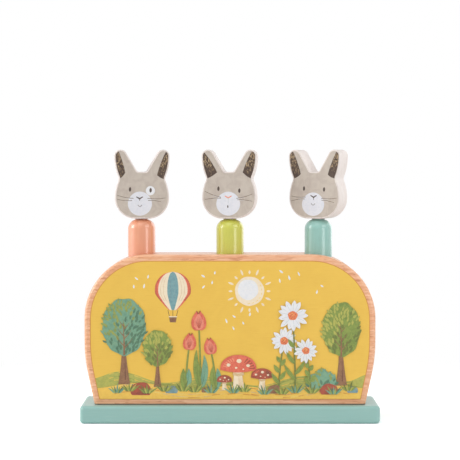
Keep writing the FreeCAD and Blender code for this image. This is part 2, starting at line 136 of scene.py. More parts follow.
def heightOf(tree, vector):
    return add(tree, "ShaderNodeSeparateXYZ", {0: vector}).outputs["Z"]


def startGroup(name, inputs, outputs):
    kinds = {"vector": "NodeSocketVector", "colour": "NodeSocketColor", "number": "NodeSocketFloat"}
    group = bpy.data.node_groups.new(name, "ShaderNodeTree")
    for label, kind, value in inputs:
        socket = group.interface.new_socket(label, in_out="INPUT", socket_type=kinds[kind])
        if value is not None:
            socket.default_value = value
    for label, kind in outputs:
        group.interface.new_socket(label, in_out="OUTPUT", socket_type=kinds[kind])
    return group, group.nodes.new("NodeGroupInput").outputs, group.nodes.new("NodeGroupOutput").inputs


# shared effects
# the noises: scale per metre, detail, roughness and twist
noises = {
    "woodSway": (34, 2, 0.5, 0.0), "woodStreaks": (430, 3, 0.6, 0.5),
    "woodFibres": (1700, 3, 0.65, 0.0), "woodFlecks": (1250, 1, 0.4, 0.3),
    "paintFibres": (900, 4, 0.6, 0.0), "paintDrift": (28, 2, 0.5, 0.0), "paintPits": (650, 2, 0.5, 0.0),
    "inkFibres": (2300, 3, 0.7, 0.0),
}
woodForm = {
    "sway": 0.016,                                        # metres that the rings wander
    "lateWood": (0.35, 1.0), "lateAmount": 0.55,          # the darker part of each ring
    "streaks": (0.42, 0.66), "streakAmount": 0.6,         # noise values between which they come in
    "fibres": (0.35, 0.7), "fibreAmount": 0.35,
    "flecks": (0.60, 0.70), "fleckDepth": 0.5,
    "footShadowFade": 0.0005,                                  # metres over which the painted shadow at the foot fades out
    "roughness": (0.42, 0.58),
}
surfaceOutputs = [("Color", "colour"), ("Height", "number"), ("Roughness", "number")]


def buildWoodGrain():
    # planed beech: growth rings about a far-off pith, streaks, fine fibres and short brown ray flecks, and
    # a painted shadow along its foot
    group, given, result = startGroup(
        "woodGrain",
        [("Vector", "vector", None), ("Fibre Stretch", "vector", (0.05, 1, 1)),
         ("Fleck Stretch", "vector", (0.22, 1, 1)), ("Pith", "vector", (0, -0.09, -0.06)),
         ("Across", "vector", (0, 1, 1)), ("Ring Width", "number", 0.0026), ("Pale", "colour", None),
         ("Deep", "colour", None), ("Fleck", "colour", None), ("Fleck Amount", "number", 0.6),
         ("Shade", "colour", None), ("Shade Below", "number", -1.0)],
        surfaceOutputs)
    form = woodForm
    along = combine(group, "MULTIPLY", given["Vector"], given["Fibre Stretch"])
    short = combine(group, "MULTIPLY", given["Vector"], given["Fleck Stretch"])
    fromPith = combine(group, "SUBTRACT", given["Vector"], given["Pith"])
    away = lengthOf(group, combine(group, "MULTIPLY", fromPith, given["Across"]))
    sway = reckon(group, "MULTIPLY", clouds(group, along, noises["woodSway"]), form["sway"])
    rings = reckon(group, "DIVIDE", reckon(group, "ADD", away, sway), given["Ring Width"])
    late = spread(group, reckon(group, "FRACT", rings, 0.0), form["lateWood"])
    streaks = clouds(group, short, noises["woodStreaks"])
    fibres = clouds(group, along, noises["woodFibres"])
    flecks = spread(group, clouds(group, short, noises["woodFlecks"]), form["flecks"])
    lateShown = reckon(group, "MULTIPLY", late, form["lateAmount"])
    tone = mixColours(group, lateShown, given["Pale"], given["Deep"])
    streaksShown = spread(group, streaks, form["streaks"], (0.0, form["streakAmount"]))
    tone = mixColours(group, streaksShown, tone, given["Deep"])
    fibresShown = spread(group, fibres, form["fibres"], (0.0, form["fibreAmount"]))
    tone = mixColours(group, fibresShown, tone, given["Deep"])
    flecksShown = reckon(group, "MULTIPLY", flecks, given["Fleck Amount"])
    tone = mixColours(group, flecksShown, tone, given["Fleck"])
    # painted shadow: below the given height the wood turns to the dark colour, standing in for the contact
    # shadow where the block sits on the base
    above = reckon(group, "SUBTRACT", heightOf(group, given["Vector"]), given["Shade Below"])
    footShadowMask = spread(group, above, (0.0, form["footShadowFade"]), (1.0, 0.0))
    group.links.new(mixColours(group, footShadowMask, tone, given["Shade"]), result["Color"])
    relief = reckon(group, "SUBTRACT", fibres, reckon(group, "MULTIPLY", flecks, form["fleckDepth"]))
    group.links.new(relief, result["Height"])
    group.links.new(spread(group, fibres, (0.3, 0.7), form["roughness"]), result["Roughness"])
    return group


paintForm = {
    "grain": (0.45, 0.72), "drift": (0.3, 0.75), "driftAmount": 0.35,
    "pitDepth": 0.6, "roughness": (-0.04, 0.05),          # what the pits add to the gloss value
}


def buildPaintFilm():
    # sprayed paint over wood: a slow change of tone and the grain faintly raised under it, and above a
    # given height bare wood darkened as painted shade
    group, given, result = startGroup(
        "paintFilm",
        [("Vector", "vector", None), ("Stretch", "vector", (0.06, 1, 1)), ("Paint", "colour", None),
         ("Thin", "colour", None), ("Grain Amount", "number", 0.3), ("Gloss", "number", 0.35),
         ("Shaded Bare", "colour", None), ("Shaded Bare Above", "number", 10.0)],
        surfaceOutputs)
    form = paintForm
    along = combine(group, "MULTIPLY", given["Vector"], given["Stretch"])
    fibres = clouds(group, along, noises["paintFibres"])
    drift = clouds(group, given["Vector"], noises["paintDrift"])
    grain = reckon(group, "MULTIPLY", spread(group, fibres, form["grain"]), given["Grain Amount"])
    drifting = reckon(group, "MULTIPLY", spread(group, drift, form["drift"]), form["driftAmount"])
    shown = reckon(group, "MAXIMUM", grain, reckon(group, "MULTIPLY", drifting, given["Grain Amount"]))
    painted = mixColours(group, shown, given["Paint"], given["Thin"])
    # painted shade: above the given height the colour turns to dark bare wood that stands in for the shadow
    # in the gap under the head
    shadedBare = reckon(group, "GREATER_THAN", heightOf(group, given["Vector"]), given["Shaded Bare Above"])
    group.links.new(mixColours(group, shadedBare, painted, given["Shaded Bare"]), result["Color"])
    pits = clouds(group, given["Vector"], noises["paintPits"])
    relief = reckon(group, "ADD", fibres, reckon(group, "MULTIPLY", pits, form["pitDepth"]))
    group.links.new(relief, result["Height"])
    rough = reckon(group, "ADD", given["Gloss"], spread(group, pits, (0.3, 0.7), form["roughness"]))
    group.links.new(rough, result["Roughness"])
    return group


inkForm = {"wash": (0.38, 0.66), "washNoise": (4, 0.6, 0.8), "wood": (0.5, 0.78), "roughness": (0.5, 0.66)}


def buildInkFilm():
    # printing ink soaked into wood: watercolour wash inside, fibres of the wood across it
    group, given, result = startGroup(
        "inkFilm",
        [("Vector", "vector", None), ("Stretch", "vector", (0.04, 1, 1)), ("Ink", "colour", None),
         ("Wash", "colour", None), ("Wood", "colour", None), ("Wash Amount", "number", 0.4),
         ("Wood Amount", "number", 0.3), ("Wash Size", "number", 260.0)],
        surfaceOutputs)
    form = inkForm
    along = combine(group, "MULTIPLY", given["Vector"], given["Stretch"])
    fibres = clouds(group, along, noises["inkFibres"])
    wash = clouds(group, given["Vector"], (given["Wash Size"], *form["washNoise"]))
    washShown = reckon(group, "MULTIPLY", spread(group, wash, form["wash"]), given["Wash Amount"])
    tone = mixColours(group, washShown, given["Ink"], given["Wash"])
    woodShown = reckon(group, "MULTIPLY", spread(group, fibres, form["wood"]), given["Wood Amount"])
    group.links.new(mixColours(group, woodShown, tone, given["Wood"]), result["Color"])
    group.links.new(fibres, result["Height"])
    group.links.new(spread(group, fibres, (0.3, 0.7), form["roughness"]), result["Roughness"])
    return group


woodGrain = buildWoodGrain()
paintFilm = buildPaintFilm()
inkFilm = buildInkFilm()
print("shared effects built")


# finishes
def makeFinish(name, group, values, relief, **shaderValues):
    # one material: a shared effect with its own values, and the shader's plain numbers
    material = bpy.data.materials.new(name)
    material.use_nodes = True
    tree = material.node_tree
    shader = tree.nodes["Principled BSDF"]
    place = add(tree, "ShaderNodeTexCoord").outputs["Object"]
    effect = add(tree, "ShaderNodeGroup", node_tree=group)
    tree.links.new(place, effect.inputs["Vector"])
    for label, value in values.items():
        effect.inputs[label].default_value = value
    tree.links.new(effect.outputs["Color"], shader.inputs["Base Color"])
    tree.links.new(effect.outputs["Roughness"], shader.inputs["Roughness"])
    bump = add(tree, "ShaderNodeBump", {"Height": effect.outputs["Height"], "Strength": relief["strength"],
                                        "Distance": relief["depth"] * mm})
    tree.links.new(bump.outputs["Normal"], shader.inputs["Normal"])
    for label, value in shaderValues.items():
        shader.inputs[label.replace("_", " ")].default_value = value
    material.diffuse_color = values.get("Paint") or values.get("Ink") or values.get("Pale")
    return material


beechLook = {
    "pale": paint(245, 193, 154), "deep": paint(221, 149, 104), "fleck": paint(180, 106, 64),
    "fleckAmount": 0.45, "relief": {"strength": 0.35, "depth": 0.05},
    "shade": paint(70, 50, 28),      # painted shadow: the dark line where the block meets the base
    "footShadowHeight": 0.45,             # millimetres
    "pith": (0.0, -0.09, -0.05), "ringWidth": 0.0026,
    "coat": 0.6, "coatRoughness": 0.24,
}


def makeBeech(name, fibreStretch, fleckStretch, across, footShadowBelow=-1.0):
    values = {"Fibre Stretch": fibreStretch, "Fleck Stretch": fleckStretch, "Across": across,
              "Pith": beechLook["pith"], "Ring Width": beechLook["ringWidth"],
              "Pale": beechLook["pale"], "Deep": beechLook["deep"], "Fleck": beechLook["fleck"],
              "Fleck Amount": beechLook["fleckAmount"], "Shade": beechLook["shade"],
              "Shade Below": footShadowBelow}
    return makeFinish(name, woodGrain, values, beechLook["relief"],
                      Coat_Weight=beechLook["coat"], Coat_Roughness=beechLook["coatRoughness"])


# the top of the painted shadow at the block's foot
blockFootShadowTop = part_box("body_block")[0].z + beechLook["footShadowHeight"] * mm
# the block's grain runs along the row of pegs, that of the pins and caps along the bores
blockBeech = makeBeech("blockBeech", (0.05, 1, 1), (0.12, 1, 1), (0, 1, 1), blockFootShadowTop)
turnedBeech = makeBeech("turnedBeech", (1, 1, 0.05), (1, 1, 0.22), (1, 1, 0))

baseLook = {"paint": paint(143, 186, 180), "thin": paint(158, 194, 188), "grain": 0.35, "gloss": 0.40}
basePaint = makeFinish(
    "basePaint", paintFilm,
    {"Paint": baseLook["paint"], "Thin": baseLook["thin"], "Grain Amount": baseLook["grain"],
     "Gloss": baseLook["gloss"]},
    {"strength": 0.25, "depth": 0.04}, Coat_Weight=0.35, Coat_Roughness=0.3)

lacquerLooks = {
    "coral": {"paint": paint(229, 153, 117), "thin": paint(236, 171, 136)},
    "lime": {"paint": paint(199, 201, 75), "thin": paint(211, 209, 95)},
    "mint": {"paint": paint(142, 190, 180), "thin": paint(158, 200, 190)},
}
neckShadeLook = {"wood": paint(74, 46, 32), "height": 0.62}   # bare wood, darkened as painted shade, in the gap between peg and head
lacquers = {}
for colour, look in lacquerLooks.items():
    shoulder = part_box(colour + "_peg")[1].z - neckShadeLook["height"] * mm
    lacquers[colour] = makeFinish(
        colour + "Lacquer", paintFilm,
        {"Stretch": (1, 1, 0.06), "Paint": look["paint"], "Thin": look["thin"], "Grain Amount": 0.4,
         "Gloss": 0.40, "Shaded Bare": neckShadeLook["wood"], "Shaded Bare Above": shoulder},
        {"strength": 0.12, "depth": 0.03}, Coat_Weight=0.9, Coat_Roughness=0.09)

headPaint = makeFinish(
    "headPaint", paintFilm,
    {"Stretch": (1, 1, 0.05), "Paint": paint(235, 226, 221), "Thin": paint(214, 200, 192),
     "Grain Amount": 0.7, "Gloss": 0.5},
    {"strength": 0.3, "depth": 0.04})

panelInk = makeFinish(
    "panelInk", inkFilm,
    {"Ink": paint(238, 195, 84), "Wash": paint(232, 187, 79), "Wood": paint(222, 172, 72),
     "Wash Amount": 0.5, "Wood Amount": 0.45, "Wash Size": 40.0},
    {"strength": 0.2, "depth": 0.02})

faceInk = makeFinish(
    "faceInk", inkFilm,
    {"Stretch": (1, 1, 0.05), "Ink": paint(199, 188, 176), "Wash": paint(188, 175, 164),
     "Wood": paint(212, 201, 189), "Wash Amount": 0.9, "Wood Amount": 0.5, "Wash Size": 150.0},
    {"strength": 0.2, "depth": 0.02})

springSteel = makeFinish(
    "springSteel", paintFilm,
    {"Stretch": (1, 1, 1), "Paint": paint(196, 196, 198), "Thin": paint(166, 166, 170),
     "Grain Amount": 0.5, "Gloss": 0.28},
    {"strength": 0.1, "depth": 0.01}, Metallic=1.0)

screwSteel = makeFinish(
    "screwSteel", paintFilm,
    {"Stretch": (1, 1, 1), "Paint": paint(206, 205, 198), "Thin": paint(178, 176, 168),
     "Grain Amount": 0.6, "Gloss": 0.34},
    {"strength": 0.15, "depth": 0.01}, Metallic=1.0)


def dress(node, material):
    slots = nodes[node].material_slots
    if not slots:
        nodes[node].data.materials.append(material)
    for entry in slots:
        entry.material = material


dressed = {"body_block": blockBeech, "base_board": basePaint, "base_screws": screwSteel,
           "front_print": panelInk, "back_print": panelInk}
for colour in pegColours:
    dressed[colour + "_peg"] = lacquers[colour]
    dressed[colour + "_head"] = headPaint
    dressed[colour + "_face_print"] = faceInk
    dressed[colour + "_nape_print"] = faceInk
    dressed[colour + "_neck_pin"] = turnedBeech
    dressed[colour + "_spring_cap"] = turnedBeech
for node, material in dressed.items():
    dress(node, material)
print("finishes on the frame's pieces")

# printing inks: colour, colour of the wash in it, and how much of the wash shows
inks = {
    "ochre": (paint(243, 200, 92), paint(236, 188, 86), 0.7),
    "sage": (paint(158, 166, 88), paint(126, 146, 84), 0.8),
    "teal": (paint(128, 170, 140), paint(104, 150, 130), 0.8),
    "olive": (paint(118, 128, 66), paint(98, 110, 60), 0.6),
    "moss": (paint(184, 182, 92), paint(160, 164, 84), 0.7),
    "coral": (paint(228, 118, 92), paint(208, 92, 78), 0.8),
    "blush": (paint(240, 158, 128), paint(230, 132, 104), 0.7),
    "russet": (paint(176, 88, 66), paint(150, 74, 62), 0.7),
    "bark": (paint(152, 112, 82), paint(126, 90, 68), 0.7),
    "umber": (paint(112, 72, 56), paint(92, 60, 50), 0.6),
    "sand": (paint(222, 192, 148), paint(206, 172, 128), 0.6),
    "lemon": (paint(242, 214, 128), paint(234, 200, 108), 0.6),
    "fern": (paint(142, 158, 78), paint(116, 138, 70), 0.8),
    "pine": (paint(92, 130, 104), paint(76, 110, 88), 0.7),
    "rose": (paint(234, 146, 124), paint(224, 124, 104), 0.8),
    "mist": (paint(204, 210, 212), paint(188, 196, 202), 0.5),
    "slate": (paint(140, 160, 162), paint(116, 138, 144), 0.8),
    "cream": (paint(244, 228, 200), paint(236, 214, 184), 0.5),
    "white": (paint(236, 236, 238), paint(222, 226, 234), 0.5),
    "muzzle": (paint(228, 228, 234), paint(215, 218, 227), 0.6),
    "sky": (paint(126, 166, 170), paint(104, 146, 156), 0.7),
    "edge": (paint(212, 142, 70), paint(196, 124, 60), 0.6),
    "cocoa": (paint(72, 56, 48), paint(95, 77, 62), 0.7),
    "straw": (paint(158, 134, 104), paint(136, 114, 90), 0.6),
    "hay": (paint(200, 174, 136), paint(180, 154, 118), 0.6),
    "dark": (paint(84, 70, 64), paint(66, 56, 54), 0.5),
    "grey": (paint(150, 144, 146), paint(130, 124, 128), 0.5),
    "tangerine": (paint(232, 132, 88), paint(222, 112, 72), 0.4),
    "whisker": (paint(116, 97, 82), paint(98, 81, 68), 0.5),
}
printLook = {
    "wood": paint(224, 190, 140), "woodShare": 0.4,      # what is mixed into each ink along the fibres
    "woodAmount": 0.25, "washSize": 420.0,
}
inkFinishes = {}


def inkFinish(ink, upright):
    # the wood's fibres run across the panels and up the heads
    key = ink + ("Upright" if upright else "Level")
    if key not in inkFinishes:
        colour, wash, amount = inks[ink]
        share = printLook["woodShare"]
        wood = [(1 - share) * c + share * w for c, w in zip(colour, printLook["wood"])]
        inkFinishes[key] = makeFinish(
            key + "Ink", inkFilm,
            {"Stretch": (1, 1, 0.05) if upright else (0.04, 1, 1), "Ink": colour, "Wash": wash,
             "Wood": wood, "Wash Amount": amount, "Wood Amount": printLook["woodAmount"],
             "Wash Size": printLook["washSize"]},
            {"strength": 0.15, "depth": 0.02})
    return inkFinishes[key]


# flat shapes, as lists of (across, up) in millimetres
spiral = 2.4            # radians from one mark to the next where marks fill a round evenly


def oval(x, y, wide, high, tilt=0.0, points=32):
    turn = math.radians(tilt)
    shape = []
    for k in range(points):
        a = 2 * math.pi * k / points
        u, v = wide / 2 * math.cos(a), high / 2 * math.sin(a)
        shape.append((x + u * math.cos(turn) - v * math.sin(turn),
                      y + u * math.sin(turn) + v * math.cos(turn)))
    return shape


def wobbly(x, y, wide, high, chance, depth=0.05, lobes=9, points=64):
    # a hand-drawn round: an oval whose edge swells and shrinks
    phase = chance.uniform(0, 6.28)
    shape = []
    for k in range(points):
        a = 2 * math.pi * k / points
        swell = 1 + depth * math.sin(lobes * a + phase) + depth * 0.5 * math.sin(3 * a + 2 * phase)
        shape.append((x + wide / 2 * swell * math.cos(a), y + high / 2 * swell * math.sin(a)))
    return shape


def stem(x, y, length, angle, bend=0.0, steps=14):
    # points along a stem that sets off at an angle and bends by so many degrees
    path = [(x, y)]
    for k in range(steps):
        a = math.radians(angle + bend * (k + 0.5) / steps)
        x += length / steps * math.cos(a)
        y += length / steps * math.sin(a)
        path.append((x, y))
    return path


def ribbon(path, width):
    # a strip along the path; width(share of the way) is its full width there
    left, right = [], []
    last = len(path) - 1
    for k, (x, y) in enumerate(path):
        x0, y0 = path[max(k - 1, 0)]
        x1, y1 = path[min(k + 1, last)]
        size = math.hypot(x1 - x0, y1 - y0)
        half = max(width(k / last), 0.06) / 2
        nx, ny = -(y1 - y0) / size * half, (x1 - x0) / size * half
        left.append((x + nx, y + ny))
        right.append((x - nx, y - ny))
    return right + left[::-1]


def leaf(x, y, length, width, angle, bend=0.0, belly=0.8):
    # pointed at both ends; belly below 1 puts the widest place near the root
    return ribbon(stem(x, y, length, angle, bend, 18),
                  lambda s: width * math.sin(math.pi * s ** belly) ** 0.85 if 0 < s < 1 else 0.06)


def stroke(path, width, end=None):
    end = width if end is None else end
    return ribbon(path, lambda s: width + (end - width) * s)


def insetBy(outline, distance):
    # the outline moved inwards; it runs anticlockwise and has no sharp hollow
    moved = []
    count = len(outline)
    for k in range(count):
        a, b, c = Vector(outline[k - 1]), Vector(outline[k]), Vector(outline[(k + 1) % count])
        first, second = (b - a).normalized(), (c - b).normalized()
        inward = Vector((-first.y - second.y, first.x + second.x))
        reach = inward.length_squared / 2
        moved.append(tuple(b + inward * distance / max(reach, 0.5)))
    return moved


def keepInside(shape, fence):
    # cuts a shape along a convex, anticlockwise fence
    for k in range(len(fence)):
        (ax, ay), (bx, by) = fence[k - 1], fence[k]
        kept = []
        for j in range(len(shape)):
            (px, py), (qx, qy) = shape[j - 1], shape[j]
            p = (bx - ax) * (py - ay) - (by - ay) * (px - ax)
            q = (bx - ax) * (qy - ay) - (by - ay) * (qx - ax)
            if p * q < 0:
                kept.append((px + (qx - px) * p / (p - q), py + (qy - py) * p / (p - q)))
            if q >= 0:
                kept.append((qx, qy))
        shape = kept
    return shape


def makePiece(name, form, material, body):
    mesh = bpy.data.meshes.new(name)
    form.to_mesh(mesh)
    form.free()
    mesh.materials.append(material)
    piece = bpy.data.objects.new(name, mesh)
    bpy.context.scene.collection.objects.link(piece)
    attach(piece, body)
    return piece


# ink laid on a face of the frame
film = {
    "sheet": 0.008, "gap": 0.002, "lift": 0.008,   # millimetres: a layer of ink and the air round it
    "square": 0.25,            # squares of the map of what is printed so far
    "shortestSide": 0.3,       # outline points closer than this to the last one are left out
    "edge": (0.05, 0.5),       # the dark line round each panel, from its outline inwards
    "evenness": 0.05,          # a polygon this far behind the front one isn't part of the face
}


class PrintedFace:
    # a flat face of a CAD node, with its outline, that takes shapes in layers
    def __init__(self, node, outward, middle, foot, chance):
        self.outward = outward.normalized()
        self.across = up.cross(self.outward).normalized()
        self.chance = chance
        self.outline = self.readOutline(node, middle, foot)
        self.shapes = {}
        self.printed = {}

    def readOutline(self, node, middle, foot):
        mesh = nodes[node].data
        facing = [p for p in mesh.polygons if p.normal.dot(self.outward) > 0.999]
        reach = max(p.center.dot(self.outward) for p in facing)
        origin = Vector((middle.x, middle.y, 0))
        self.origin = origin + self.outward * (reach - origin.dot(self.outward)) + up * foot
        sides, places = {}, {}
        for p in facing:
            if p.center.dot(self.outward) < reach - film["evenness"] * mm:
                continue
            keys = []
            for v in p.vertices:
                away = mesh.vertices[v].co - self.origin
                flat = (away.dot(self.across) / mm, away.z / mm)
                keys.append((round(flat[0], 3), round(flat[1], 3)))
                places[keys[-1]] = flat
            for k in range(len(keys)):
                side = (keys[k - 1], keys[k])
                if side[::-1] in sides:
                    del sides[side[::-1]]        # a side shared by two triangles isn't on the outline
                else:
                    sides[side] = True
        following = dict(sides.keys())
        start = point = min(following)
        loop = [places[start]]
        while following[point] != start:
            point = following[point]
            if math.dist(places[point], loop[-1]) > film["shortestSide"]:
                loop.append(places[point])
        return loop

    def squaresUnder(self, shape):
        # the squares that a shape touches, with one more all round
        size = film["square"]
        lowest, highest = min(v for u, v in shape), max(v for u, v in shape)
        squares = set()
        for row in range(math.floor(lowest / size), math.ceil(highest / size)):
            level = (row + 0.5) * size
            cuts = []
            for (u0, v0), (u1, v1) in zip(shape, shape[1:] + shape[:1]):
                if (v0 <= level) != (v1 <= level):
                    cuts.append(u0 + (u1 - u0) * (level - v0) / (v1 - v0))
            cuts.sort()
            for left, right in zip(cuts[::2], cuts[1::2]):
                first, last = math.floor(left / size) - 1, math.ceil(right / size)
                squares.update((column, row) for column in range(first, last + 1))
        for u, v in shape:
            column, row = math.floor(u / size), math.floor(v / size)
            squares.update((column + i, row + j) for i in (-1, 0, 1) for j in (-1, 0, 1))
        return squares

    def draw(self, ink, shape):
        # a shape goes on top of whatever is printed under it, in the lowest layer that is free there
        squares = self.squaresUnder(shape)
        layer = 1 + max((self.printed.get(square, -1) for square in squares), default=-1)
        for square in squares:
            self.printed[square] = layer
        area = sum(a[0] * b[1] - b[0] * a[1] for a, b in zip(shape, shape[1:] + shape[:1]))
        self.shapes.setdefault(ink, []).append((shape if area > 0 else shape[::-1], layer))

    def spot(self, flat, height):
        return self.origin + self.across * flat[0] * mm + up * flat[1] * mm + self.outward * height * mm

    def lay(self, stem, body, upright):
        # one closed mesh for each ink: every shape a thin slab of its own
        for ink, shapes in self.shapes.items():
            form = bmesh.new()
            for shape, layer in shapes:
                low = film["lift"] + layer * (film["sheet"] + film["gap"])
                under = [form.verts.new(self.spot(p, low)) for p in shape]
                over = [form.verts.new(self.spot(p, low + film["sheet"])) for p in shape]
                for i, j, k in tessellate_polygon([[Vector((u, v, 0)) for u, v in shape]]):
                    (iu, iv), (ju, jv), (ku, kv) = shape[i], shape[j], shape[k]
                    if (ju - iu) * (kv - iv) < (jv - iv) * (ku - iu):
                        j, k = k, j
                    form.faces.new((over[i], over[j], over[k]))
                    form.faces.new((under[i], under[k], under[j]))
                for k in range(len(shape)):
                    form.faces.new((under[k - 1], under[k], over[k], over[k - 1]))
            makePiece(stem + "_" + ink, form, inkFinish(ink, upright), body)


# motifs of the panel pictures: each draws on a printed face, places and sizes in millimetres
tones = {
    "pine": ("teal", "sage", "pine"),        # middle, pale and deep ink
    "fern": ("fern", "moss", "olive"),
}
crownForm = {
    "edgeDepth": 0.025,                      # how much its edge swells
    "dabArea": 8, "dabLength": (3.0, 4.8), "dabWidth": (1.3, 2.0),
    "reach": 0.93,                           # how near to the edge the dabs start
    "fan": 55, "stray": 22,                  # degrees that they lean outwards, and at random
    "paleAbove": 0.22, "deepBelow": -0.30, "lightStray": 0.55,
}


def drawCrown(face, x, y, wide, high, name):
    # a round of foliage: brush dabs on a plain ground, paler towards the upper left
    chance, form = face.chance, crownForm
    middle, pale, deep = tones[name]
    face.draw(middle, wobbly(x, y, wide, high, chance, form["edgeDepth"]))
    count = round(wide * high / form["dabArea"])
    for k in range(count):
        share, a = math.sqrt((k + 0.5) / count) * form["reach"], spiral * k
        u, v = share * math.cos(a), share * math.sin(a)
        light = v * 0.7 - u * 0.5 + chance.uniform(-form["lightStray"], form["lightStray"])
        ink = pale if light > form["paleAbove"] else deep if light < form["deepBelow"] else middle
        length, width = chance.uniform(*form["dabLength"]), chance.uniform(*form["dabWidth"])
        angle = 90 - u * form["fan"] + chance.uniform(-form["stray"], form["stray"])
        root = (x + u * wide / 2 - 0.3 * wide / 20, y + v * high / 2 - 1.6)
        face.draw(ink, leaf(*root, length, width, angle))


treeForm = {
    # widths and heights as shares of the tree's height
    "trunk": 0.72, "foot": (0.085, 0.055, 0.03), "shade": 0.012, "leader": 0.022, "bough": 0.013,
    # shares of the crown: the leader's length, and the lowest bough's depth and reach with their change
    "leaderLength": 0.62, "boughDepth": (0.36, 0.17), "boughReach": (0.32, 0.06),
    "boughs": 3, "boughAngle": 46, "boughBend": 16, "lean": 5,
}


def drawTree(face, x, y, height, crown, name):
    form = treeForm
    trunk = stem(x, y, height * form["trunk"], 90, face.chance.uniform(-form["lean"], form["lean"]))
    flare, width, taper = form["foot"]
    face.draw("bark", ribbon(trunk, lambda s: height * (flare * (1 - s) ** 3 + width - taper * s)))
    shade = height * form["shade"]
    face.draw("umber", stroke([(u + shade, v) for u, v in trunk[1:8]], shade, 0.1))
    wide, high = crown
    middle = y + height - high / 2
    drawCrown(face, x, middle, wide, high, name)
    leader = stem(x, middle - high * 0.5, high * form["leaderLength"], 90, 3)
    face.draw("bark", stroke(leader, height * form["leader"], 0.15))
    depth, depthStep = form["boughDepth"]
    longest, reachStep = form["boughReach"]
    for side in (-1, 1):
        for k in range(form["boughs"]):
            rise = middle - high * (depth - depthStep * k) - side * 0.8
            reach = wide * (longest - reachStep * k)
            bough = stem(x, rise, reach, 90 - side * form["boughAngle"], side * form["boughBend"])
            face.draw("bark", stroke(bough, height * form["bough"], 0.1))


bushForm = {"crowns": [(-1, 0.62), (1, 0.66), (0, 0.8)], "apart": 0.24, "crownWidth": 0.56}


def drawBush(face, x, y, wide, high, name):
    # three crowns: left, right and, over both, the middle one
    form = bushForm
    for side, share in form["crowns"]:
        drawCrown(face, x + side * wide * form["apart"], y + high * share * 0.5, wide * form["crownWidth"],
                  high * share, name)


tulipForm = {
    "stem": (1.5, 1.0), "shine": 0.35,       # widths
    "leafLength": (0.52, 0.68),              # shares of the flower's height
    "leafWidth": 4.8, "leafAngle": (16, 26), "leafBend": (20, 38), "vein": 0.36,
    "cup": 8.5, "cupGrowth": 0.12,           # the cup's length, and what each millimetre of height adds
    # the back pair, the side pair and the middle one: ink, how far down they start, length and width as
    # shares of the cup, lean, bend and belly
    "petals": [("russet", 0.6, 1.0, 0.5, 9, -8, 0.6), ("coral", 1.0, 0.98, 0.58, 24, -36, 0.62),
               ("rose", 0.9, 0.86, 0.52, 0, 0, 0.66)],
}


def drawTulip(face, x, y, height, lean):
    chance, form = face.chance, tulipForm
    path = stem(x, y, height, 90 - lean * 0.3, -lean)
    face.draw("fern", stroke(path, *form["stem"]))
    face.draw("olive", stroke([(u + form["shine"], v) for u, v in path], form["shine"], 0.2))
    for side in (-1, 1):
        length = height * chance.uniform(*form["leafLength"])
        angle = 90 + side * chance.uniform(*form["leafAngle"])
        bend = -side * chance.uniform(*form["leafBend"])
        ink, vein = ("fern", "olive") if side > 0 else ("teal", "pine")
        face.draw(ink, leaf(x, y, length, form["leafWidth"], angle, bend))
        for shift in (-0.9, 0, 0.9):
            line = stem(x + shift * 0.3, y + 1.2 + abs(shift), length * (0.78 - 0.16 * abs(shift)),
                        angle - shift * 5, bend)
            face.draw(vein, stroke(line, form["vein"], 0.1))
    tx, ty = path[-1]
    tilt = 90 - lean
    size = form["cup"] + height * form["cupGrowth"]
    for ink, drop, length, width, turn, bend, belly in form["petals"]:
        for side in ((-1, 1) if turn else (0,)):
            petal = leaf(tx, ty - drop, size * length, size * width, tilt + side * turn, side * bend, belly)
            face.draw(ink, petal)
    for k in range(-3, 4):
        line = stem(tx + k * 0.1, ty + 0.4, size * (0.60 - 0.05 * abs(k)), tilt - k * 8, k * 6)
        face.draw("russet" if k % 2 else "coral", stroke(line, form["vein"], 0.1))
    for side in (-1, 1):
        edge = stem(tx + side * 1.5, ty + 0.8, size * 0.6, tilt + side * -30, side * 34)
        face.draw("blush", stroke(edge, 0.5, 0.12))


mushroomForm = {
    # shares of the cap's width
    "foot": 0.62, "footWidth": 0.32, "footTaper": 0.14, "rim": 0.55, "rise": 0.42, "sag": 0.07,
    "spots": [(-0.27, 0.14, 0.11), (0.02, 0.25, 0.14), (0.27, 0.12, 0.10), (-0.06, 0.06, 0.07),
              (0.14, 0.02, 0.05)],           # across, up from the rim, and width
    "ring": (0.15, 0.45, 0.41, 0.08),        # its half width, height at the ends and the middle, thickness
    "footLines": 4, "deepRays": 9, "paleRays": 6, "lean": 10,                # how many, and degrees
}


